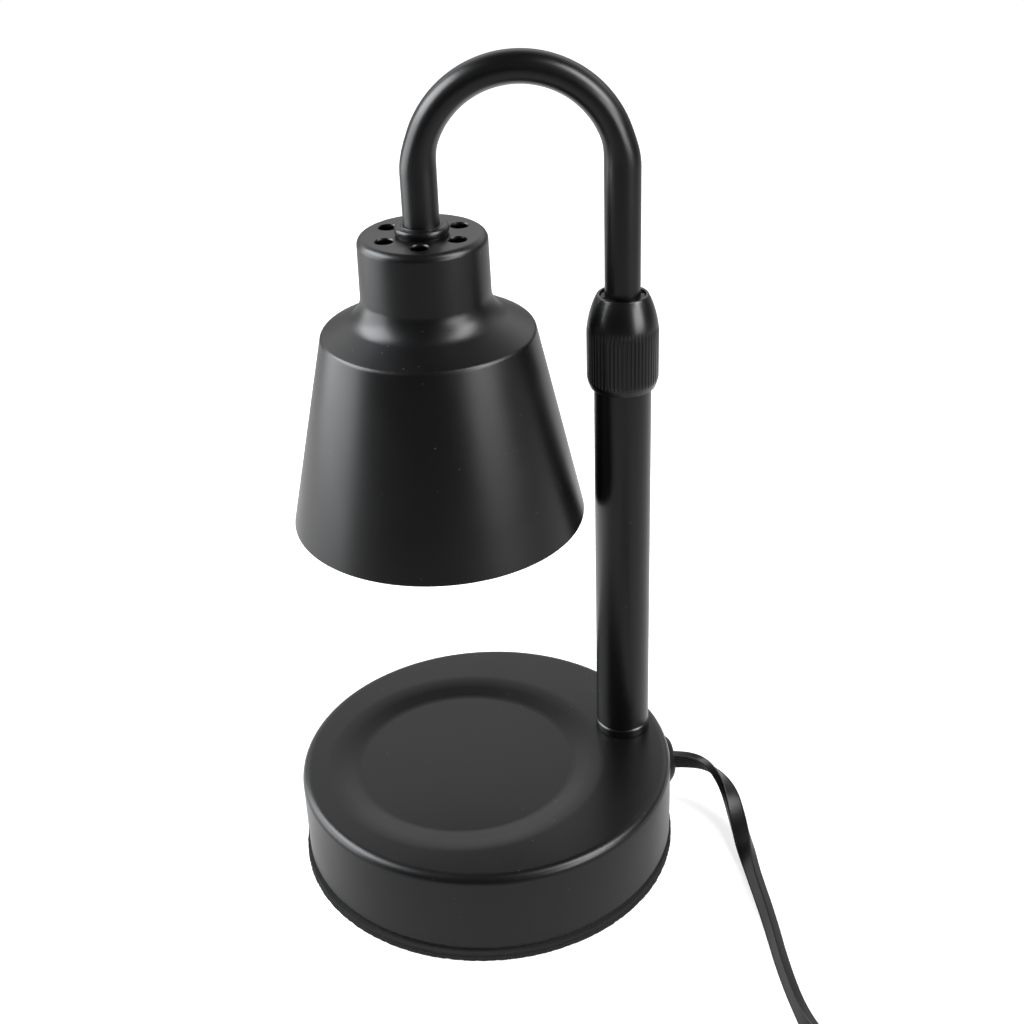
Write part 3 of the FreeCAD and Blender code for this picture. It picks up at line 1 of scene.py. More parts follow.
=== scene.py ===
"""Looks of a candle warmer lamp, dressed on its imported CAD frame.

Sizes are in millimetres unless a name says otherwise, and meshes are stored in metres. The origin is
the centre of the base on the table, +Z is up, the post stands on +Y and the lamp's front is -Y.
"""

import logging
import math
from collections.abc import Iterable, Sequence
from dataclasses import dataclass
from enum import Enum

import bmesh
import bpy
from bmesh.types import BMEdge, BMesh, BMVert
from bpy.types import ID, Material, Mesh, Node, NodeSocket, NodeTree, Object
from mathutils import Matrix, Vector, noise

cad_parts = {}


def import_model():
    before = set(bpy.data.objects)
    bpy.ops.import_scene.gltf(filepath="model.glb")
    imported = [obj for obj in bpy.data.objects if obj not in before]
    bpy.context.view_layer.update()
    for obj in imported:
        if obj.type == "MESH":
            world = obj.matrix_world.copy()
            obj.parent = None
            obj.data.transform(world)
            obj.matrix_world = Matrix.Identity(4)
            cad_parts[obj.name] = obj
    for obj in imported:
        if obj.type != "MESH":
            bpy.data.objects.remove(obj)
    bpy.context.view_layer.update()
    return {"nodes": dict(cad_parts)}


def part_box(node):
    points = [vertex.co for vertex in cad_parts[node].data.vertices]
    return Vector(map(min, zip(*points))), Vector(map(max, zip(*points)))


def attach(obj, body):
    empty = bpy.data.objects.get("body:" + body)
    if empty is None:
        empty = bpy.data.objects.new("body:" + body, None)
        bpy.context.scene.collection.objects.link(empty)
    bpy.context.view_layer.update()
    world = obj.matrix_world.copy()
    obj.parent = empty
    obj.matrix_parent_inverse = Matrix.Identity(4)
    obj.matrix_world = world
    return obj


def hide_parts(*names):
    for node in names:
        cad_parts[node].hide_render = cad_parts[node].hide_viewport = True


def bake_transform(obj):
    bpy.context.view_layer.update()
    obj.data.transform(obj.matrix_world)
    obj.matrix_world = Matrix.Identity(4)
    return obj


MM = 0.001
UP = Vector((0, 0, 1))
MERGE = 1e-4  # below this two points are one
NEAR = 0.01  # how far an open edge may lie from the height that it is looked for at
SHARP = math.radians(32)
CLOUD_SIZE = 26.0
DUST_SPACING = 5.5
DUST_CORE, DUST_EDGE = 0.022, 0.040  # of the spacing
DUST_COLOUR = "8d8b88"
POST_Y = 59.4
POST_RADIUS = 10.65
ARM_REACH = 70.6
ARM_TURN = math.radians(-18)
SHADE_Y = POST_Y - ARM_REACH  # before the arm is turned
TABLE_TO_TOP = 40.0

Corner = tuple[float, float, float]  # distance from the axis, height, fillet radius
Point = tuple[float, float, float]
log = logging.getLogger("lamp")


# ---- Materials ----
def linear(code: str) -> tuple[float, float, float, float]:
    """Turns an sRGB hex colour into linear light.

    Args:
        code: Six hex digits, with or without a leading hash.

    Returns:
        Red, green, blue and an alpha of one.
    """
    digits = code.lstrip("#")
    parts = [int(digits[i:i + 2], 16) / 255 for i in (0, 2, 4)]
    light = [c / 12.92 if c <= 0.04045 else ((c + 0.055) / 1.055) ** 2.4 for c in parts]
    return light[0], light[1], light[2], 1.0


def add_node(tree: NodeTree, kind: str, inputs: dict | None = None, **settings: object) -> Node:
    """Adds a node to a tree, with its settings, socket values and links.

    Args:
        tree: The node tree.
        kind: The node's type name.
        inputs: Socket name or number to a value, or to the output socket that it is linked from.
        **settings: Properties of the node itself.

    Returns:
        The new node.
    """
    made = tree.nodes.new(kind)
    for key, value in settings.items():
        setattr(made, key, value)
    for key, value in (inputs or {}).items():
        if isinstance(value, NodeSocket):
            tree.links.new(value, made.inputs[key])
        else:
            made.inputs[key].default_value = value
    return made


class Relief(Enum):
    """How a surface was made, which decides its fine relief."""

    POWDER = "a faint orange peel, as baked powder or sand casting leaves"
    SPRAYED = "a slow wave, nearly level, as of lacquer, plating or pressed glass"
    MOULDED = "a fine even grain, as of a spark-eroded mould, a die or foam cells"


@dataclass(frozen=True)
class Finish:
    """One real finish, by what it is made of and how its surface was made."""

    name: str
    colour: str
    roughness: float
    relief: Relief
    grain: float
    depth: float
    metallic: float = 0.0
    ior: float = 1.5
    cloud: float = 0.0
    dust: float = 0.0
    transmission: float = 0.0

    def material(self) -> Material:
        """The finish as a material, made once and shared."""
        known = bpy.data.materials.get(self.name)
        if known is not None:
            return known
        made = bpy.data.materials.new(self.name)
        made.use_nodes = True
        tree = made.node_tree
        tree.nodes.clear()
        place = add_node(tree, "ShaderNodeTexCoord").outputs["Object"]
        in_mm = add_node(tree, "ShaderNodeVectorMath", {0: place, "Scale": 1 / MM},
                         operation="SCALE").outputs[0]
        shader = add_node(tree, "ShaderNodeBsdfPrincipled", {
            "Base Color": linear(self.colour), "Roughness": self.roughness, "Metallic": self.metallic,
            "IOR": self.ior, "Transmission Weight": self.transmission,
        })
        self.tint(tree, in_mm, shader)
        self.raise_relief(tree, in_mm, shader)
        add_node(tree, "ShaderNodeOutputMaterial", {"Surface": shader.outputs["BSDF"]})
        return made

    def tint(self, tree: NodeTree, in_mm: NodeSocket, shader: Node) -> None:
        """Varies the colour and roughness over the surface, and lays dust on it.

        Args:
            tree: The material's node tree.
            in_mm: Object coordinates in millimetres.
            shader: The surface shader.
        """
        if self.cloud <= 0:
            return
        base = linear(self.colour)
        soft = add_node(tree, "ShaderNodeTexNoise", {
            "Vector": in_mm, "Scale": 1 / CLOUD_SIZE, "Detail": 3.0,
        })
        low = tuple(c * (1 - self.cloud) for c in base[:3]) + (1.0,)
        high = tuple(min(1.0, c * (1 + self.cloud)) for c in base[:3]) + (1.0,)
        tone = add_node(tree, "ShaderNodeMix", {0: soft.outputs["Fac"], 6: low, 7: high}, data_type="RGBA")
        rough = add_node(tree, "ShaderNodeMapRange", {
            "Value": soft.outputs["Fac"], "From Min": 0.3, "From Max": 0.7,
            "To Min": self.roughness * (1 - self.cloud), "To Max": self.roughness * (1 + self.cloud),
        })
        tree.links.new(tone.outputs[2], shader.inputs["Base Color"])
        tree.links.new(rough.outputs[0], shader.inputs["Roughness"])
        if self.dust > 0:
            cells = add_node(tree, "ShaderNodeTexVoronoi", {"Vector": in_mm, "Scale": 1 / DUST_SPACING})
            speck = add_node(tree, "ShaderNodeMapRange", {
                "Value": cells.outputs["Distance"], "From Min": DUST_CORE, "From Max": DUST_EDGE,
                "To Min": self.dust, "To Max": 0.0,
            })
            dusty = add_node(tree, "ShaderNodeMix", {
                0: speck.outputs[0], 6: tone.outputs[2], 7: linear(DUST_COLOUR),
            }, data_type="RGBA")
            tree.links.new(dusty.outputs[2], shader.inputs["Base Color"])

    def raise_relief(self, tree: NodeTree, in_mm: NodeSocket, shader: Node) -> None:
        """Adds the fine relief that the surface was left with.

        Args:
            tree: The material's node tree.
            in_mm: Object coordinates in millimetres.
            shader: The surface shader.
        """
        if self.relief is Relief.MOULDED:
            height = add_node(tree, "ShaderNodeTexVoronoi", {"Vector": in_mm, "Scale": 1 / self.grain},
                              feature="SMOOTH_F1").outputs["Distance"]
        else:
            detail = 2.0 if self.relief is Relief.POWDER else 0.5
            height = add_node(tree, "ShaderNodeTexNoise", {
                "Vector": in_mm, "Scale": 1 / self.grain, "Detail": detail,
            }).outputs["Fac"]
        bump = add_node(tree, "ShaderNodeBump", {"Height": height, "Distance": self.depth * MM})
        tree.links.new(bump.outputs["Normal"], shader.inputs["Normal"])


# Baked epoxy powder over spun steel: a satin skin that blurs every light into a soft band. Its
# peel is 0.4 mm across on the real thing, and is drawn at 1.1 mm so that it shows at all.
POWDER_COAT = Finish("satin_powder_coat_black", "080809", 0.34, Relief.POWDER, 1.1, 0.006,
                     cloud=0.08, dust=0.5)
# Sprayed lacquer on drawn tube, a little smoother than powder, with sharper reflections.
TUBE_LACQUER = Finish("satin_lacquer_black", "080808", 0.32, Relief.SPRAYED, 2.4, 0.004,
                      cloud=0.06, dust=0.25)
# Lacquer on a turned part, which keeps the turned surface's gloss.
GLOSS_LACQUER = Finish("gloss_lacquer_black", "080808", 0.28, Relief.SPRAYED, 1.6, 0.003,
                       ior=1.58, cloud=0.05)
# Closed-cell foam rubber, dull, with torn cells along its cut edge.
FOAM = Finish("closed_cell_foam_black", "262626", 0.92, Relief.MOULDED, 0.9, 0.20, ior=1.28, cloud=0.30)
# Zinc-plated steel, whose thin plating has a soft blue-grey sheen.
ZINC = Finish("zinc_plated_steel", "a9adb0", 0.38, Relief.SPRAYED, 0.8, 0.004, metallic=1.0, cloud=0.10)
# Zinc-plated steel under a black passivate, which leaves it dark and dull.
BLACK_ZINC = Finish("black_zinc_plated_steel", "1a1b1c", 0.48, Relief.SPRAYED, 0.8, 0.004,
                    metallic=1.0, cloud=0.12)
# Sand-cast iron, dark and rough as it leaves the mould.
CAST_IRON = Finish("sand_cast_iron", "3a3836", 0.75, Relief.POWDER, 0.9, 0.08, cloud=0.20)
# Moulded nylon, slightly waxy.
BLACK_NYLON = Finish("moulded_nylon_black", "0a0a0a", 0.40, Relief.MOULDED, 0.5, 0.010, cloud=0.06)
WHITE_NYLON = Finish("moulded_nylon_white", "d9d6cd", 0.42, Relief.MOULDED, 0.5, 0.008, cloud=0.03)
# The cord's bushing: black nylon made darker and duller than the plain black nylon, as painted shade for
# the shadow that it sits in.
SHADED_NYLON = Finish("black_nylon_painted_shade", "050505", 0.50, Relief.MOULDED, 0.6, 0.008, ior=1.27, cloud=0.08)
# Extruded PVC, satin, with a faint grain left by the die.
CORD_PVC = Finish("extruded_pvc_black", "0b0b0c", 0.38, Relief.MOULDED, 0.55, 0.012, cloud=0.12)
# ABS from a spark-eroded mould, a fine even grain that scatters the light.
CASE_ABS = Finish("moulded_abs_black", "141415", 0.50, Relief.MOULDED, 0.55, 0.015, cloud=0.06)
# Glass-fibre board under green solder mask.
BOARD = Finish("solder_mask_green", "1f5b36", 0.35, Relief.SPRAYED, 0.7, 0.004, cloud=0.10)
# Drawn brass with a dull skin of handling.
BRASS = Finish("drawn_brass", "c9a255", 0.28, Relief.SPRAYED, 0.6, 0.003, metallic=1.0, cloud=0.10)
# Glazed steatite, off-white.
CERAMIC = Finish("glazed_steatite", "e4e0d6", 0.22, Relief.SPRAYED, 2.0, 0.010, cloud=0.03)
# Aluminium evaporated on pressed glass, bright and slightly warm.
MIRROR = Finish("aluminised_glass", "dcdad6", 0.10, Relief.SPRAYED, 3.0, 0.010, metallic=1.0, cloud=0.04)
# Pressed clear glass.
GLASS = Finish("pressed_clear_glass", "f4f7f6", 0.03, Relief.SPRAYED, 2.5, 0.010, transmission=1.0)


# ---- Mesh helpers ----
def smooth_step(share: float) -> float:
    """A rise from 0 to 1 that starts and ends level, for a share that is first held to 0 to 1."""
    share = min(max(share, 0.0), 1.0)
    return share * share * (3 - 2 * share)


def only(kind: type, elements: Iterable) -> list:
    """The vertices, or the edges, among the elements that an operator gives back."""
    return [element for element in elements if isinstance(element, kind)]


def wire(corners: Sequence[Corner], closed: bool, segments: int) -> BMesh:
    """Draws a profile in the XZ plane and rounds its corners.

    Args:
        corners: The profile's corners, in millimetres.
        closed: Whether the last corner joins the first.
        segments: Edges along each rounded corner.

    Returns:
        A mesh of edges only, in millimetres.
    """
    bm = bmesh.new()
    verts = [bm.verts.new((r, 0, z)) for r, z, _ in corners]
    pairs = list(zip(verts, verts[1:]))
    if closed:
        pairs.append((verts[-1], verts[0]))
    for one, two in pairs:
        bm.edges.new((one, two))
    count = len(corners)
    for index, (r, z, radius) in enumerate(corners):
        if radius <= 0 or (not closed and index in (0, count - 1)):
            continue
        here = Vector((r, 0, z))
        before = Vector((corners[index - 1][0], 0, corners[index - 1][1])) - here
        after = Vector((corners[(index + 1) % count][0], 0, corners[(index + 1) % count][1])) - here
        setback = radius / math.tan(before.angle(after) / 2)
        bmesh.ops.bevel(bm, geom=[verts[index]], offset=setback, offset_type="OFFSET", segments=segments,
                        profile=0.5, affect="VERTICES", material=-1)
    return bm


def spun(corners: Sequence[Corner], steps: int, segments: int, closed: bool = True) -> BMesh:
    """Turns a profile about the Z axis.

    Args:
        corners: The profile's corners, in millimetres.
        steps: Faces round the full turn.
        segments: Edges along each rounded corner.
        closed: Whether the profile is a closed loop.

    Returns:
        The turned mesh, in millimetres.
    """
    bm = wire(corners, closed, segments)
    bmesh.ops.spin(bm, geom=bm.verts[:] + bm.edges[:], cent=(0, 0, 0), axis=(0, 0, 1),
                   angle=math.tau, steps=steps, use_merge=True)
    bmesh.ops.remove_doubles(bm, verts=bm.verts, dist=MERGE)
    return bm


def moved(bm: BMesh, x: float, y: float, z: float = 0.0) -> BMesh:
    """The same mesh, shifted by millimetres."""
    bmesh.ops.translate(bm, verts=bm.verts, vec=(x, y, z))
    return bm


def turned_with_arm(bm: BMesh) -> BMesh:
    """The same mesh, turned about the post to where the arm rests."""
    bmesh.ops.rotate(bm, verts=bm.verts, cent=(0, POST_Y, 0), matrix=Matrix.Rotation(ARM_TURN, 3, "Z"))
    return bm


def joined(parts: Iterable[BMesh]) -> BMesh:
    """One mesh that holds several, which are freed."""
    whole = bmesh.new()
    for part in parts:
        scratch = bpy.data.meshes.new("scratch")
        part.to_mesh(scratch)
        part.free()
        whole.from_mesh(scratch)
        bpy.data.meshes.remove(scratch)
    return whole


def bridged(bm: BMesh, heights: Iterable[float]) -> BMesh:
    """The same mesh, with the two open loops at each height joined by a band of faces."""
    for height in heights:
        loops = [edge for edge in bm.edges
                 if len(edge.link_faces) == 1 and abs(edge.verts[0].co.z - height) < NEAR]
        bmesh.ops.bridge_loops(bm, edges=loops)
    return bm


def in_scene(name: str, data: ID) -> Object:
    """A new object with this data, linked to the scene."""
    made = bpy.data.objects.new(name, data)
    bpy.context.scene.collection.objects.link(made)
    return made


def evaluated_mesh(piece: Object, name: str) -> Mesh:
    """A mesh of the object as its modifiers or its bevel leave it."""
    graph = bpy.context.evaluated_depsgraph_get()
    mesh = bpy.data.meshes.new_from_object(piece.evaluated_get(graph), depsgraph=graph)
    mesh.name = name
    return mesh


def kept(bm: BMesh, name: str) -> Object:
    """Stores a mesh made in millimetres as an object at the origin, in metres.

    Args:
        bm: The mesh, which is freed.
        name: The object's name.

    Returns:
        The new object.
    """
    bmesh.ops.scale(bm, verts=bm.verts, vec=(MM, MM, MM))
    bmesh.ops.recalc_face_normals(bm, faces=bm.faces)
    for face in bm.faces:
        face.smooth = True
    mesh = bpy.data.meshes.new(name)
    bm.to_mesh(mesh)
    bm.free()
    mesh.set_sharp_from_angle(angle=SHARP)
    return in_scene(name, mesh)


def even_shading(piece: Object) -> Object:
    """Keeps broad flat faces flat in shading, beside the small faces of a rounded edge."""
    weighted = piece.modifiers.new("even_shading", "WEIGHTED_NORMAL")
    weighted.keep_sharp = True
    return piece


def cut(piece: Object, tool: Object) -> Object:
    """Cuts one object out of another and removes the tool.

    Args:
        piece: The object that is cut.
        tool: The object that is cut out of it.

    Returns:
        The piece, with its mesh replaced.
    """
    modifier = piece.modifiers.new("cut", "BOOLEAN")
    modifier.operation = "DIFFERENCE"
    modifier.solver = "EXACT"
    modifier.object = tool
    result = evaluated_mesh(piece, piece.name)
    piece.modifiers.clear()
    old = piece.data
    piece.data = result
    bpy.data.meshes.remove(old)
    bpy.data.objects.remove(tool)
    result.set_sharp_from_angle(angle=SHARP)
    return piece


def nurbs_guide(name: str, route: Iterable[tuple[Sequence[float], float]], resolution: int) -> Object:
    """A curve object with one open spline of arcs that run into each other.

    Args:
        name: The object's name.
        route: Each control point in metres, with its roll in degrees.
        resolution: Points along each arc.

    Returns:
        The new object.
    """
    curve = bpy.data.curves.new(name, "CURVE")
    curve.dimensions = "3D"
    spline = curve.splines.new("NURBS")
    route = list(route)
    spline.points.add(len(route) - 1)
    for point, (place, roll) in zip(spline.points, route):
        point.co = (*place, 1.0)
        point.tilt = math.radians(roll)
    spline.order_u = 3
    spline.use_endpoint_u = True
    spline.resolution_u = resolution
    curve.use_fill_caps = True
    return in_scene(name, curve)


def swept(guide: Object, name: str) -> Object:
    """The tube that a guide's bevel makes, as a mesh object, in place of the guide."""
    mesh = evaluated_mesh(guide, name)
    bpy.data.objects.remove(guide)
    return in_scene(name, mesh)


def coat(piece: Object, finish: Finish) -> None:
    """Gives a piece one finish all over."""
    piece.data.materials.clear()
    piece.data.materials.append(finish.material())


def dress(piece: Object, finish: Finish, body: str, slot: str, *nodes: str) -> None:
    """Gives a finished piece its material and its place in the frame.

    Args:
        piece: The new piece.
        finish: Its finish.
        body: The CAD body that it rides on.
        slot: The record's material slot. Not used.
        *nodes: The CAD nodes that it stands for.
    """
    coat(piece, finish)
    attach(piece, body)
    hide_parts(*nodes)
    log.info("%s: %d faces on %s", piece.name, len(piece.data.polygons), body)


# ---- Studio ----
@dataclass(frozen=True)
class Softbox:
    """One upright soft light that faces the lamp, with its sizes in metres.

    It stands turn degrees from the camera towards its right, and away from the lamp's axis. Its
    radiance is in watts per square metre and steradian.
    """

    name: str
    turn: float
    away: float
    width: float
    low: float
    high: float
    radiance: float
    colour: str = "ffffff"

    def build(self, azimuth: float) -> None:
        """Adds the light to the scene.

        Args:
            azimuth: The camera's azimuth in degrees.
        """
        tall = self.high - self.low
        data = bpy.data.lights.new(self.name, "AREA")
        data.shape = "RECTANGLE"
        data.size, data.size_y = self.width, tall
        data.energy = self.radiance * math.pi * self.width * tall
        data.color = linear(self.colour)[:3]
        bearing = math.radians(azimuth - 90 + self.turn)
        place = Vector((math.cos(bearing) * self.away, math.sin(bearing) * self.away,
                        (self.low + self.high) / 2))
        made = in_scene(self.name, data)
        made.location = place
        made.rotation_euler = Vector((-place.x, -place.y, 0)).to_track_quat("-Z", "Y").to_euler()


SOFTBOXES = (
    Softbox("left_softbox_low", -97.0, 0.85, 0.80, low=0.0, high=0.52, radiance=4.8, colour="fafcff"),
    Softbox("left_softbox_high", -97.0, 0.85, 0.80, low=0.52, high=1.26, radiance=10.5, colour="f8fbff"),
    Softbox("right_softbox_low", 54.0, 0.95, 0.52, low=0.18, high=0.62, radiance=6.8),
    Softbox("right_softbox_high", 70.0, 0.95, 0.50, low=0.62, high=2.05, radiance=11.0),
)


@dataclass
class Studio:
    """Camera, floor, lights and surroundings."""

    azimuth: float = 74.015
    elevation: float = 29.491
    distance: float = 587.92
    aim_right: float = 14.379
    aim_height: float = 152.549
    roll: float = -2.253
    lens: float = 55.248
    floor_radius: float = 1500.0
    floor_place: Point = (60.0, 20.0, -0.2)
    floor_colour: str = "dcdcdc"
    floor_lift: float = 0.7
    # the next seven numbers shape the painted glow that glossy rays see on the floor: dim ahead of the
    # lamp, bright behind it, fainter further off
    floor_glow_ahead: float = 0.60
    floor_glow_behind: float = 1.45
    floor_turn: float = 10.0
    floor_spread: float = 0.75
    fade_near: float = 0.20  # metres, as the next
    fade_far: float = 0.80
    fade_to: float = 0.45
    wall_from: float = 0.20
    wall_full: float = 0.60
    wall_least: float = 0.05
    matt_light: float = 0.30
    backdrop: tuple[tuple[float, float], ...] = (
        (0.0, 0.30), (1.0, 0.12), (0.18, 0.38), (0.32, 1.10), (0.45, 1.30), (0.62, 0.80), (0.82, 0.14),
    )

    def axes(self) -> tuple[Vector, Vector, Vector]:
        """The camera's right, up and backward directions."""
        a, e, r = (math.radians(v) for v in (self.azimuth, self.elevation, self.roll))
        back = Vector((math.sin(a) * math.cos(e), -math.cos(a) * math.cos(e), math.sin(e)))
        level = self.level_right()
        rise = back.cross(level)
        return level * math.cos(r) + rise * math.sin(r), rise * math.cos(r) - level * math.sin(r), back

    def level_right(self) -> Vector:
        """The level direction to the camera's right."""
        turn = math.radians(self.azimuth)
        return Vector((math.cos(turn), math.sin(turn), 0))

    def level_back(self) -> Vector:
        """The level direction from the lamp to the camera."""
        _, _, back = self.axes()
        return Vector((back.x, back.y, 0)).normalized()

    def camera(self) -> None:
        """Makes the camera and gives it to the scene."""
        right, up, back = self.axes()
        aim = self.level_right() * self.aim_right + UP * self.aim_height
        data = bpy.data.cameras.new("camera")
        data.lens = self.lens
        data.sensor_width = 36.0
        data.clip_start, data.clip_end = 0.01, 20.0
        made = in_scene("camera", data)
        made.matrix_world = Matrix.Translation((aim + back * self.distance) * MM) @ Matrix(
            (right, up, back)).transposed().to_4x4()
        bpy.context.scene.camera = made

    def floor(self) -> None:
        """A plain pale floor that shows white and keeps the lamp's shadow."""
        bm = bmesh.new()
        bmesh.ops.create_circle(bm, cap_ends=True, segments=96, radius=self.floor_radius)
        made = kept(moved(bm, *self.floor_place), "floor")
        made.data.materials.append(self.board())

    def board(self) -> Material:
        """Matt white board; to glossy rays it shows a painted glow, bright behind the lamp and dim before
        it.
        """
        paint = bpy.data.materials.new("matt_white_board")
        paint.use_nodes = True
        tree = paint.node_tree
        tree.nodes.clear()
        path = add_node(tree, "ShaderNodeLightPath").outputs
        matt = add_node(tree, "ShaderNodeBsdfDiffuse", {"Color": linear(self.floor_colour)})
        lift = add_node(tree, "ShaderNodeMath", {0: path["Is Camera Ray"], 1: self.floor_lift},
                        operation="MULTIPLY")
        glow = add_node(tree, "ShaderNodeEmission", {"Strength": lift.outputs[0]})
        both = add_node(tree, "ShaderNodeAddShader", {0: matt.outputs[0], 1: glow.outputs[0]})
        place = add_node(tree, "ShaderNodeTexCoord").outputs["Object"]
        way = add_node(tree, "ShaderNodeVectorMath", {0: place}, operation="NORMALIZE")
        dimmest = Matrix.Rotation(math.radians(self.floor_turn), 3, "Z") @ self.level_back()
        ahead = add_node(tree, "ShaderNodeVectorMath", {0: way.outputs[0], 1: tuple(dimmest)},
                         operation="DOT_PRODUCT")
        painted_glow = add_node(tree, "ShaderNodeMapRange", {
            "Value": ahead.outputs["Value"], "From Min": -self.floor_spread, "From Max": self.floor_spread,
            "To Min": self.floor_glow_behind, "To Max": self.floor_glow_ahead,
        }, interpolation_type="SMOOTHSTEP")
        reach = add_node(tree, "ShaderNodeVectorMath", {0: place}, operation="LENGTH")
        glow_falloff = add_node(tree, "ShaderNodeMapRange", {
            "Value": reach.outputs["Value"], "From Min": self.fade_near, "From Max": self.fade_far,
            "To Min": 1.0, "To Max": self.fade_to,
        })
        painted_glow = add_node(tree, "ShaderNodeMath", {0: painted_glow.outputs[0], 1: glow_falloff.outputs[0]},
                         operation="MULTIPLY")
        # painted reflection: glossy rays see this glow in place of the lit board
        painted_reflection = add_node(tree, "ShaderNodeEmission", {"Strength": painted_glow.outputs[0]})
        shown = add_node(tree, "ShaderNodeMixShader", {
            0: path["Is Glossy Ray"], 1: both.outputs[0], 2: painted_reflection.outputs[0],
        })
        add_node(tree, "ShaderNodeOutputMaterial", {"Surface": shown.outputs[0]})
        return paint

    def surroundings(self) -> None:
        """A white studio: white where it is seen, white behind the lamp and dim on the camera's side."""
        world = bpy.data.worlds.new("studio")
        world.use_nodes = True
        tree = world.node_tree
        tree.nodes.clear()
        path = add_node(tree, "ShaderNodeLightPath").outputs
        way = add_node(tree, "ShaderNodeTexCoord").outputs["Generated"]
        behind = add_node(tree, "ShaderNodeVectorMath", {0: way, 1: tuple(-self.level_back())},
                          operation="DOT_PRODUCT")
        height = add_node(tree, "ShaderNodeSeparateXYZ", {0: way})
        wall = add_node(tree, "ShaderNodeMapRange", {
            "Value": behind.outputs["Value"], "From Min": self.wall_from, "From Max": self.wall_full,
            "To Min": self.wall_least, "To Max": 1.0,
        }, interpolation_type="SMOOTHSTEP")
        fade = add_node(tree, "ShaderNodeValToRGB", {0: height.outputs["Z"]})
        for index, (rise, bright) in enumerate(self.backdrop):
            stop = fade.color_ramp.elements[index] if index < 2 else fade.color_ramp.elements.new(rise)
            stop.position, stop.color = rise, (bright, bright, bright, 1.0)
        wall = add_node(tree, "ShaderNodeMath", {0: wall.outputs[0], 1: fade.outputs[0]},
                        operation="MULTIPLY")
        seen = add_node(tree, "ShaderNodeMath", {0: path["Is Glossy Ray"], 1: path["Is Transmission Ray"]},
                        operation="MAXIMUM")
        lit = add_node(tree, "ShaderNodeMix", {0: seen.outputs[0], 2: self.matt_light, 3: wall.outputs[0]},
                       data_type="FLOAT")
        shown = add_node(tree, "ShaderNodeMix", {0: path["Is Camera Ray"], 2: lit.outputs[0], 3: 1.0},
                         data_type="FLOAT")
        sky = add_node(tree, "ShaderNodeBackground", {"Color": (1, 1, 1, 1), "Strength": shown.outputs[0]})
        add_node(tree, "ShaderNodeOutputWorld", {"Surface": sky.outputs[0]})
        bpy.context.scene.world = world

    def build(self) -> None:
        """Sets the whole studio."""
        self.camera()
        self.floor()
        for softbox in SOFTBOXES:
            softbox.build(self.azimuth)
        self.surroundings()
        bpy.context.scene.view_settings.view_transform = "Standard"


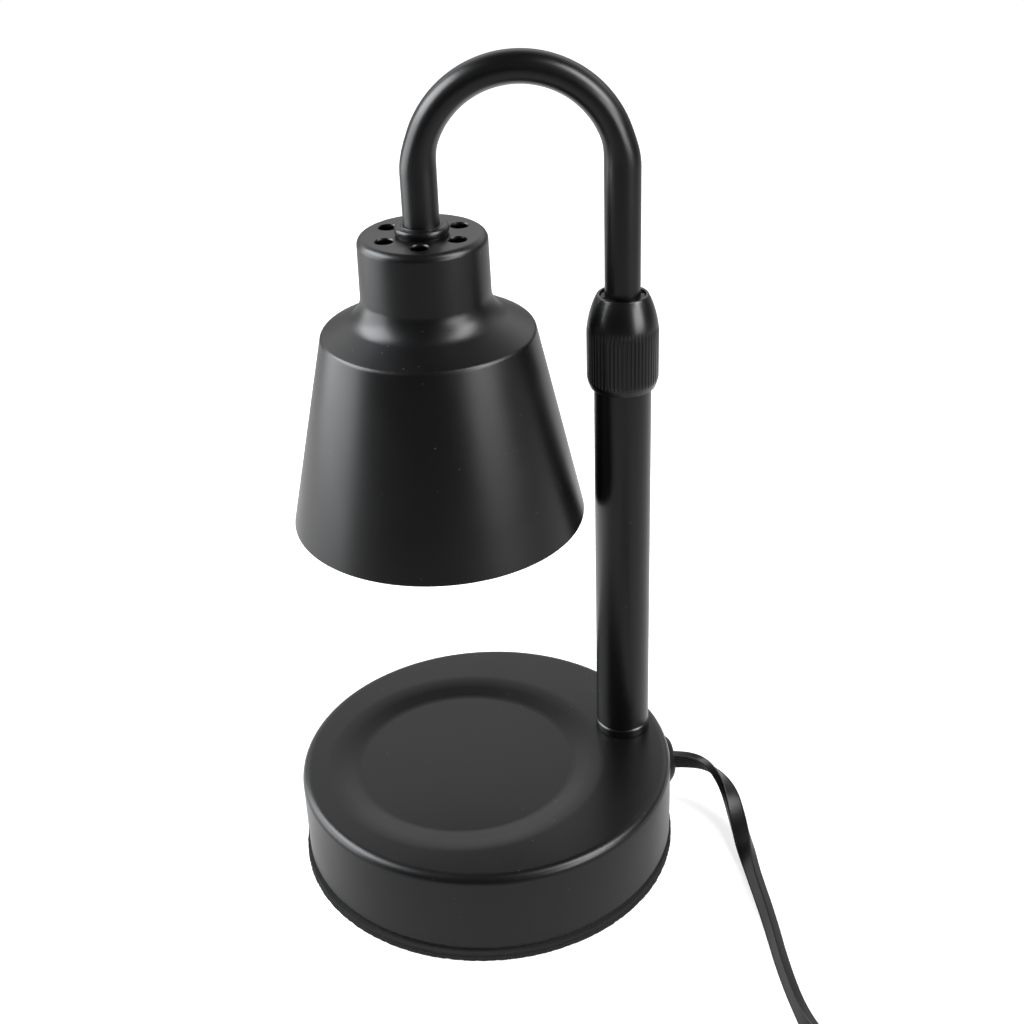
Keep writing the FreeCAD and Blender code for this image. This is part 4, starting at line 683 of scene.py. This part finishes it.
# ---- Mains cord ----
@dataclass
class Cord:
    """The flat two-core cord, on one spline from the base through the dimmer and the coil to the plug."""

    width: float = 6.8
    thickness: float = 3.2
    corner: float = 0.5
    corner_steps: int = 5
    groove: float = 0.14
    groove_slope: float = 0.12
    groove_inset: float = 0.15
    flutes: int = 5
    flute_depth: float = 0.5
    flute_mouth: float = 0.84
    flute_floor: float = 0.60
    length: float = 1.8
    coil_x: float = 231.4
    coil_y: float = 14.0
    turns: float = 7.25
    outer: float = 37.5
    inner: float = 26.1
    low_z: float = 3.5
    high_z: float = 10.1
    climb_turns: float = 0.5
    per_turn: int = 16

    def coil(self) -> list[tuple[Point, float]]:
        """The coil's control points, clockwise from its east side, each with its roll in degrees."""
        points = []
        grow = 1 / math.cos(math.pi / self.per_turn)
        half = self.turns / 2
        for index in range(int(self.turns * self.per_turn) + 1):
            turn = index / self.per_turn
            share = abs(turn - half) / half
            radius = (self.inner + (self.outer - self.inner) * share) * grow
            climb = smooth_step((turn - half) / self.climb_turns + 0.5)
            height = self.low_z + (self.high_z - self.low_z) * climb
            angle = -math.tau * turn
            points.append(((self.coil_x + radius * math.cos(angle), self.coil_y + radius * math.sin(angle),
                            height), 90.0))
        return points

    def route(self) -> list[tuple[Point, float]]:
        """Every control point with its roll: 0 lays the cord flat, 90 stands it on its edge."""
        run = [
            ((10.9, 77.54, 24.0), -92), ((11.85, 84.3, 23.2), -84), ((15.8, 92.4, 20.5), -48),
            ((23.6, 97.8, 13.6), -20), ((33.6, 97.4, 6.6), -6), ((46.0, 94.8, 3.8), 20),
            ((56.0, 92.7, 3.75), 52), ((66.1, 90.4, 3.75), 70), ((90.0, 85.8, 3.75), 72),
            ((117.8, 79.2, 3.7), 80), ((140.5, 76.0, 3.7), 86), ((156.03, 75.78, 6.0), 36),
            ((165.0, 75.0, 6.0), 0),
        ]
        link = [
            ((224.8, 69.8, 6.0), 0), ((233.77, 69.02, 6.0), 4), ((246.6, 67.7, 4.2), 34),
            ((258.4, 61.8, 3.7), 75), ((266.4, 51.5, 3.5), 90), ((269.8, 38.9, 3.5), 90),
            ((269.9, 31.0, 3.5), 90), ((269.6, 26.9, 3.5), 90), ((268.9, 20.2, 3.5), 90),
        ]
        end = [((220.0, -23.8, 9.0), 90), ((213.0, -24.2, 8.4), 90), ((204.5, -24.9, 7.0), 90),
               ((196.5, -25.8, 7.0), 90)]
        return run + link + self.coil() + end

    def section(self) -> Object:
        """The cross-section: square-shouldered edges, a sunk band on one wide side, flutes in the other."""
        half, thick, corner = self.width / 2, self.thickness / 2, self.corner
        side = []
        for centre_y, first in ((-thick + corner, -90.0), (thick - corner, 0.0)):
            for step in range(self.corner_steps + 1):
                angle = math.radians(first + 90.0 / self.corner_steps * step)
                side.append((half - corner + corner * math.cos(angle), centre_y + corner * math.sin(angle)))
        band = half - corner - self.groove_inset
        foot, sunk = band - self.groove_slope, thick - self.groove
        top = [(band, thick), (foot, sunk), (0.0, sunk), (-foot, sunk), (-band, thick)]
        under = []
        mouth, floor, low = self.flute_mouth / 2, self.flute_floor / 2, -thick + self.flute_depth
        for index in range(self.flutes):
            middle = -band + (index + 0.5) * 2 * band / self.flutes
            under += [(middle - mouth, -thick), (middle - floor, low), (middle + floor, low),
                      (middle + mouth, -thick)]
        whole = side + top + [(-x, -y) for x, y in side] + under
        curve = bpy.data.curves.new("cord_section", "CURVE")
        curve.dimensions = "2D"
        loop = curve.splines.new("POLY")
        loop.points.add(len(whole) - 1)
        for point, (x, y) in zip(loop.points, whole):
            point.co = (x * MM, y * MM, 0, 1)
        loop.use_cyclic_u = True
        return in_scene("cord_section", curve)

    def build(self, pieces_on_it: Sequence[Object]) -> None:
        """Args:
            pieces_on_it: The dimmer, tie and plug. Not used.
        """
        route = ((tuple(c * MM for c in place), roll) for place, roll in self.route())
        guide = nurbs_guide("cord_guide", route, resolution=10)
        guide.data.twist_mode = "Z_UP"
        bare = bpy.data.meshes.new_from_object(guide)
        bpy.data.meshes.remove(bare)
        section = self.section()
        guide.data.bevel_mode = "OBJECT"
        guide.data.bevel_object = section
        made = swept(guide, "mains_cord")
        made.data.set_sharp_from_angle(angle=SHARP)
        bpy.data.objects.remove(section)
        dress(made, CORD_PVC, "base", "black_pvc", "cord_run", "cord_link", "cord_coil", "cord_end")


# ---- Slack lead ----
@dataclass
class SlackLead:
    """The lead's spare length, curled inside the post, that draws out and closes as the arm slides."""

    lead_radius: float = 1.7
    curl_radius: float = 7.0
    turns: int = 5
    per_turn: int = 10
    straight: float = 2.0

    def route(self, low: Vector, high: Vector) -> list[Vector]:
        """The curl's control points, in metres, between two corners of the room that it has."""
        axis = ((low + high) / 2).xy.to_3d()
        radius = self.curl_radius * MM
        first, last = low.z + 2 * self.straight * MM, high.z - 2 * self.straight * MM
        count = self.turns * self.per_turn
        curl = [axis + Vector((radius * math.cos(math.tau * index / self.per_turn),
                               radius * math.sin(math.tau * index / self.per_turn),
                               first + (last - first) * index / count)) for index in range(count + 1)]
        rises = [low.z, low.z + self.straight * MM, high.z - self.straight * MM, high.z]
        ends = [axis + UP * rise for rise in rises]
        return ends[:2] + curl + ends[2:]

    def build(self) -> None:
        """Winds the lead and stretches it between the post's foot and the arm's lower end."""
        low, high = (Vector(corner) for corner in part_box("slack_lead"))
        guide = nurbs_guide("slack_guide", ((place, 0.0) for place in self.route(low, high)), resolution=4)
        guide.data.bevel_depth = self.lead_radius * MM
        guide.data.bevel_resolution = 3
        made = swept(guide, "slack_curl")
        coat(made, CORD_PVC)
        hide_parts("slack_lead")
        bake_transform(made)
        log.info("%s: %d faces from base to carrier", made.name, len(made.data.polygons))


# ---- Base ----
@dataclass
class Base:
    """The weighted base: drawn steel shell with a dished seat, closed by a plate on a foam pad."""

    radius: float = 75.0
    wall: float = 1.2
    low: float = 6.0
    edge_fillet: float = 0.5
    rim_fillet: float = 3.5
    rim_margin: float = 0.3
    dish_y: float = -8.7
    dish_radius: float = 53.0
    dish_floor: float = 43.8
    dish_depth: float = 2.0
    dish_fillet: float = 34.0
    dish_foot_fillet: float = 13.0
    dish_margin: float = 4.0
    pad_radius: float = 76.09
    pad_top: float = 4.0
    pad_seam: float = 2.2
    pad_shift: float = -0.3
    pad_steps: int = 720
    tear_coarse: tuple[float, float] = (0.45, 0.22)  # waves per millimetre, depth
    tear_fine: tuple[float, float] = (1.4, 0.14)
    tear_bias: float = 0.08
    lift: tuple[float, float] = (0.5, 0.45)  # waves per millimetre, height
    lift_below: float = 0.6
    steps: int = 192

    def shell(self) -> None:
        """The shell: its rim and walls turned about one axis, its dish about another, and bridged."""
        top, lid = TABLE_TO_TOP, TABLE_TO_TOP - self.wall
        inner = self.radius - self.wall
        level = self.radius - self.rim_fillet - self.rim_margin
        drum = spun([
            (level, top, 0), (self.radius, top, self.rim_fillet), (self.radius, self.low, self.edge_fillet),
            (inner, self.low, self.edge_fillet), (inner, lid, self.rim_fillet - self.wall),
            (level - 1, lid, 0),
        ], self.steps, closed=False, segments=12)
        skins = [drum]
        for height in (top, lid):
            floor = height - self.dish_depth
            dish = spun([
                (0, floor, 0), (self.dish_floor, floor, self.dish_foot_fillet),
                (self.dish_radius, height, self.dish_fillet),
                (self.dish_radius + self.dish_margin, height, 0),
            ], self.steps, closed=False, segments=14)
            skins.append(moved(dish, 0, self.dish_y))
        shell = kept(bridged(joined(skins), (top, lid)), "drum_shell")
        dress(even_shading(shell), POWDER_COAT, "base", "satin_powder_coat", "base_shell")

    def pad(self) -> None:
        """The foam pad: two layers glued together, whose cut edges are slightly torn."""
        out, seam = self.pad_radius, self.pad_seam
        bm = spun([
            (0, 0, 0), (out, 0, 0.45), (out, 0.9, 0), (out, seam - 0.15, 0.12), (out - 0.5, seam, 0),
            (out - 0.15, seam + 0.2, 0.12), (out - 0.1, 3.1, 0), (out - 0.1, self.pad_top, 0.4),
            (0, self.pad_top, 0),
        ], self.pad_steps, closed=False, segments=3)
        tears = (self.tear_coarse, self.tear_fine)
        for vert in bm.verts:
            flat = Vector((vert.co.x, vert.co.y, 0))
            if flat.length > out - 1:
                torn = sum(noise.noise(vert.co * often) * deep for often, deep in tears)
                vert.co += flat.normalized() * min(torn - self.tear_bias, 0.0)
                if vert.co.z < self.lift_below:
                    often, high = self.lift
                    vert.co.z += max(noise.noise(vert.co * often), 0.0) * high
        dress(kept(moved(bm, 0, self.pad_shift), "foam_pad"), FOAM, "base", "black_foam", "foot_pad")

    def build(self) -> None:
        """Builds the shell and the pad."""
        self.shell()
        self.pad()


# ---- Post and clamp nut ----
@dataclass
class Post:
    """The fixed tube and the turned ring that it stands in."""

    wall: float = 1.3
    foot: float = 43.9
    top: float = 211.9
    ring_radius: float = 10.95
    ring_bore: float = 5.05
    spigot_radius: float = 9.3
    spigot_height: float = 10.0
    steps: int = 128

    def build(self) -> None:
        """Builds the tube and its foot ring."""
        bore = POST_RADIUS - self.wall
        tube = spun([
            (bore, self.foot, 0.2), (POST_RADIUS, self.foot, 0.3), (POST_RADIUS, self.top, 0.3),
            (bore, self.top, 0.3),
        ], self.steps, segments=3)
        post = kept(moved(tube, 0, POST_Y), "post_tube")
        dress(even_shading(post), TUBE_LACQUER, "base", "satin_lacquer", "outer_tube")
        low, out, spigot = TABLE_TO_TOP, self.ring_radius, self.foot + self.spigot_height
        ring = spun([
            (self.ring_bore, low, 0), (out - 0.15, low, 0.15), (out, low + 0.5, 0),
            (out, self.foot - 0.55, 0.12), (out - 0.55, self.foot, 0.1), (self.spigot_radius, self.foot, 0),
            (self.spigot_radius, spigot, 0.4), (self.ring_bore, spigot, 0),
        ], self.steps, segments=3)
        seat = kept(moved(ring, 0, POST_Y), "seat_ring")
        dress(even_shading(seat), GLOSS_LACQUER, "base", "gloss_lacquer", "post_foot_ring")


@dataclass
class GripNut:
    """The clamp nut: a ribbed grip whose ribs run out into a smooth dome."""

    foot: float = 195.8
    height: float = 35.7
    radius: float = 13.25
    rib_depth: float = 0.35
    ribs: int = 55
    crest: float = 0.5
    flank: float = 0.15
    foot_radius: float = 12.2
    foot_rise: float = 3.2
    foot_fillet: float = 8.0
    dome_drop: float = 7.2
    dome_fillet: float = 30.38
    lip_radius: float = 9.3
    mouth: float = 8.35
    cone_foot: float = 10.3
    cone_low: float = 214.1
    cone_drop: float = 0.8
    bore: float = 10.75
    per_rib: int = 8

    def reach(self, angle: float) -> float:
        """How far from the axis a rib's section reaches at an angle in radians."""
        share = (angle / math.tau * self.ribs) % 1.0
        sunk = min(max(min(share - self.crest, 1.0 - share) / self.flank, 0.0), 1.0)
        return self.radius - sunk * self.rib_depth

    def build(self) -> None:
        """Turns the blank and sinks the grooves between its ribs."""
        foot, top, cone = self.foot, self.foot + self.height, self.cone_low
        bm = spun([
            (self.foot_radius, foot, 0.35), (self.radius, foot + self.foot_rise, self.foot_fillet),
            (self.radius, top - self.dome_drop, self.dome_fillet), (self.lip_radius, top, 0.5),
            (self.mouth, top, 0.3), (self.mouth, top - self.cone_drop, 0), (self.cone_foot, cone, 0),
            (self.bore, cone, 0), (self.bore, foot, 0.2),
        ], self.ribs * self.per_rib, segments=22)
        for vert in bm.verts:
            flat = math.hypot(vert.co.x, vert.co.y)
            limit = self.reach(math.atan2(vert.co.y, vert.co.x) % math.tau)
            if flat > limit:
                vert.co.x *= limit / flat
                vert.co.y *= limit / flat
        nut = kept(moved(bm, 0, POST_Y), "grip_nut")
        dress(nut, GLOSS_LACQUER, "lock_nut", "gloss_lacquer", "lock_nut")


# ---- Arm and shade ----
@dataclass
class Gooseneck:
    """The U-bent tube that slides in the post and carries the shade."""

    radius: float = 6.5
    wall: float = 1.2
    foot: float = 106.0
    bend_z: float = 278.0
    shade_top: float = 256.0
    flattening: float = 0.12
    widening: float = 0.25
    blend: float = 20.0
    steps: int = 72
    sides: int = 64

    def loss(self, angle: float) -> float:
        """The share of its radius that the tube loses in the bend's plane, at degrees round it."""
        return self.flattening * smooth_step(min(angle, 180.0 - angle) / self.blend)

    def skin(self, radius: float) -> BMesh:
        """The tube's wall at one radius, open at both ends."""
        middle = Vector((0, POST_Y - ARM_REACH / 2, self.bend_z))
        bm = bmesh.new()
        bmesh.ops.create_circle(bm, segments=self.sides, radius=radius)
        moved(bm, 0, POST_Y, self.foot)
        grown = bmesh.ops.extrude_edge_only(bm, edges=bm.edges[:])["geom"]
        verts = only(BMVert, grown)
        bmesh.ops.translate(bm, verts=verts, vec=(0, 0, self.bend_z - self.foot))
        bend = bmesh.ops.spin(bm, geom=verts + only(BMEdge, grown), cent=middle, axis=(1, 0, 0),
                              angle=math.pi, steps=self.steps)
        last = only(BMEdge, bend["geom_last"])
        grown = bmesh.ops.extrude_edge_only(bm, edges=last)["geom"]
        bmesh.ops.translate(bm, verts=only(BMVert, grown), vec=(0, 0, self.shade_top - self.bend_z))
        for vert in bm.verts:
            if vert.co.z > self.bend_z + 0.001:
                out = Vector((0, vert.co.y - middle.y, vert.co.z - middle.z))
                lost = self.loss(math.degrees(math.atan2(out.z, out.y)))
                away = ARM_REACH / 2 + (out.length - ARM_REACH / 2) * (1 - lost)
                wide = Vector((vert.co.x * (1 + lost * self.widening), 0, 0))
                vert.co = middle + out.normalized() * away + wide
        return bm

    def build(self) -> None:
        """Builds the tube with its bore, joined at both ends."""
        skins = joined([self.skin(self.radius), self.skin(self.radius - self.wall)])
        tube = kept(turned_with_arm(bridged(skins, (self.foot, self.shade_top))), "gooseneck")
        dress(even_shading(tube), TUBE_LACQUER, "arm", "satin_lacquer", "inner_tube")


@dataclass
class Shade:
    """The spun shade with its vented neck, and the collar that the tube ends in."""

    top: float = 256.0
    rim: float = 144.0
    wall: float = 1.0
    hole: float = 4.0
    neck_top: float = 23.3
    neck_fillet: float = 2.8
    neck_foot: float = 23.8
    neck_drop: float = 28.5
    neck_foot_fillet: float = 10.5
    shoulder: float = 39.4
    shoulder_drop: float = 36.5
    shoulder_fillet: float = 2.0
    rim_radius: float = 55.9
    vent_radius: float = 3.25
    vent_circle: float = 14.8
    vents: int = 6
    vent_start: float = -60.0
    vent_edge: float = 0.35
    vent_flare: float = 0.85
    collar_radius: float = 9.8
    collar_height: float = 3.6
    collar_bore: float = 6.55
    collar_mouth: float = 7.25
    steps: int = 192

    def vent_tools(self) -> Object:
        """The cutting tools of the vents, flared at the top where the coating rounds the edge."""
        tools = []
        out, low, high = self.vent_radius, self.top - 3, self.top + 0.5
        for index in range(self.vents):
            tool = spun([
                (0, low, 0), (out, low, 0), (out, self.top - self.vent_edge, 0.3),
                (out + self.vent_flare, high, 0), (0, high, 0),
            ], 40, closed=False, segments=3)
            angle = math.radians(self.vent_start + 360.0 / self.vents * index)
            tools.append(moved(tool, self.vent_circle * math.cos(angle),
                               SHADE_Y + self.vent_circle * math.sin(angle)))
        return kept(turned_with_arm(joined(tools)), "vent_tools")

    def build(self) -> None:
        """Spins the shade, cuts its vents and adds the collar."""
        top, wall, rim = self.top, self.wall, self.rim
        drop, neck = top - self.shoulder_drop, top - self.neck_drop
        slope = (self.rim_radius - self.shoulder) / (drop - rim)
        lean = wall * math.sqrt(1 + slope * slope)
        bm = spun([
            (self.hole, top, 0), (self.neck_top, top, self.neck_fillet),
            (self.neck_foot, neck, self.neck_foot_fillet), (self.shoulder, drop, self.shoulder_fillet),
            (self.rim_radius, rim, 0.35), (self.rim_radius - lean, rim, 0.35),
            (self.shoulder - lean, drop - wall * 0.85, self.shoulder_fillet * 0.6),
            (self.neck_foot - wall, neck - wall, self.neck_foot_fillet + wall),
            (self.neck_top - wall, top - wall, self.neck_fillet - wall), (self.hole, top - wall, 0),
        ], self.steps, segments=12)
        shade = kept(turned_with_arm(moved(bm, 0, SHADE_Y)), "shade_cone")
        even_shading(cut(shade, self.vent_tools()))
        dress(shade, POWDER_COAT, "arm", "satin_powder_coat", "shade")
        self.collar()

    def collar(self) -> None:
        """The beaded collar round the tube's end."""
        low, high = self.top, self.top + self.collar_height
        bead = (self.collar_height - 0.9) / 2
        out, bore, mouth = self.collar_radius, self.collar_bore, self.collar_mouth
        bm = spun([
            (bore, low, 0), (out - 0.7, low, 0.1), (out - 0.7, low + 0.5, 0.15),
            (out, low + 0.6, bead * 0.95), (out, high - 0.25, bead * 0.95),
            (mouth + 0.3, high - 0.3, 0.25), (mouth, high, 0.25), (bore, high, 0.15),
        ], 96, segments=8)
        collar = kept(turned_with_arm(moved(bm, 0, SHADE_Y)), "bead_collar")
        dress(collar, TUBE_LACQUER, "arm", "gloss_lacquer", "shade_collar")


# ---- Cord outlet ----
@dataclass
class Outlet:
    """The domed bushing that leads the cord through the wall of the base."""

    turn: float = -8.0
    height: float = 25.0
    shell: float = 75.0
    wall: float = 1.2
    radius: float = 10.2
    proud: float = 3.1
    neck: float = 6.45
    depth: float = 7.0
    slot_wide: float = 6.8
    slot_thick: float = 3.5
    slot_start: float = 63.0
    slot_length: float = 20.0

    def slot_tool(self) -> Object:
        """The cutting tool of the flat slot that the cord runs through."""
        bm = bmesh.new()
        ends = []
        for side in (-1, 1):
            made = bmesh.ops.create_circle(bm, segments=24, radius=self.slot_thick / 2)
            bmesh.ops.translate(bm, verts=made["verts"],
                                vec=(side * (self.slot_wide - self.slot_thick) / 2, 0, self.slot_start))
            ends += made["verts"]
        bmesh.ops.convex_hull(bm, input=ends)
        bmesh.ops.dissolve_limit(bm, angle_limit=0.01, verts=bm.verts, edges=bm.edges)
        face = max(bm.faces, key=lambda one: one.calc_area())
        grown = bmesh.ops.extrude_face_region(bm, geom=[face], use_keep_orig=True)["geom"]
        bmesh.ops.translate(bm, verts=only(BMVert, grown), vec=(0, 0, self.slot_length))
        return kept(self.set_in_wall(bm), "slot_tool")

    def set_in_wall(self, bm: BMesh) -> BMesh:
        """A mesh built along +Z, laid along the outlet's direction."""
        lay = Matrix.Rotation(math.radians(90 + self.turn), 4, "Z") @ Matrix.Rotation(math.pi / 2, 4, "Y")
        bmesh.ops.transform(bm, matrix=Matrix.Translation((0, 0, self.height)) @ lay, verts=bm.verts)
        return bm

    def build(self) -> None:
        """Turns the bushing, seats its flange on the round wall and cuts the slot."""
        shell, neck, out = self.shell, self.neck, self.radius
        back, front = shell - self.wall - self.depth, shell + self.proud
        bm = spun([
            (0, back, 0), (neck, back, 0.4), (neck, shell, 0), (out, shell, 0.25),
            (out, shell + 0.75, 0.4), (out - 2.6, front, 3.4), (0, front, 0),
        ], 72, closed=False, segments=8)
        for vert in bm.verts:
            flat = math.hypot(vert.co.x, vert.co.y)
            if flat > neck + 0.2:
                sag = shell - math.sqrt(shell ** 2 - vert.co.y ** 2)
                vert.co.z -= sag * min(1.0, (flat - neck) / 1.5)
        piece = cut(kept(self.set_in_wall(bm), "cord_bushing"), self.slot_tool())
        # painted shade: the bushing gets a darker, duller copy of black nylon
        dress(even_shading(piece), SHADED_NYLON, "base", "black_nylon", "strain_relief")


# ---- Carried-over CAD nodes ----
NODES_BY_FINISH: dict[Finish, tuple[str, ...]] = {
    ZINC: ("bottom_plate", "shell_studs", "plate_screws", "ballast_screws", "post_nipple",
           "post_washer", "post_nut", "guide_rings", "arm_nipple", "holder_screws", "dimmer_screws"),
    CAST_IRON: ("ballast_weight",),
    BLACK_NYLON: ("collet", "guide_bush", "end_bushing", "coil_tie"),
    CORD_PVC: ("arm_lead", "cord_tail", "base_lead", "plug_body"),
    BLACK_ZINC: ("shade_washer", "shade_nut", "holder_bracket"),
    CERAMIC: ("lampholder", "bulb_base"),
    BRASS: ("bulb_pins", "terminal_screws", "plug_blades"),
    MIRROR: ("bulb_reflector",),
    GLASS: ("bulb_lens", "bulb_capsule"),
    WHITE_NYLON: ("terminal_block",),
    CASE_ABS: ("dimmer_base", "dimmer_cover", "dimmer_pot", "dimmer_knob"),
    BOARD: ("dimmer_board",),
}


def dress_nodes(nodes: dict[str, Object]) -> None:
    """Gives every CAD node that stays its real finish.

    Args:
        nodes: The frame's nodes by name.
    """
    for finish, names in NODES_BY_FINISH.items():
        for name in names:
            coat(nodes[name], finish)


def main() -> None:
    """Builds the studio and the lamp's pieces in order."""
    logging.basicConfig(level=logging.INFO, format="%(name)s: %(message)s")
    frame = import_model()
    nodes = frame["nodes"]
    Studio().build()
    on_cord = ["dimmer_base", "dimmer_cover", "dimmer_knob", "coil_tie", "plug_body", "plug_blades"]
    Cord().build([nodes[name] for name in on_cord])
    for part in (SlackLead(), Base(), Outlet(), Post(), GripNut(), Gooseneck(), Shade()):
        part.build()
    dress_nodes(nodes)


if __name__ == "__main__":
    main()
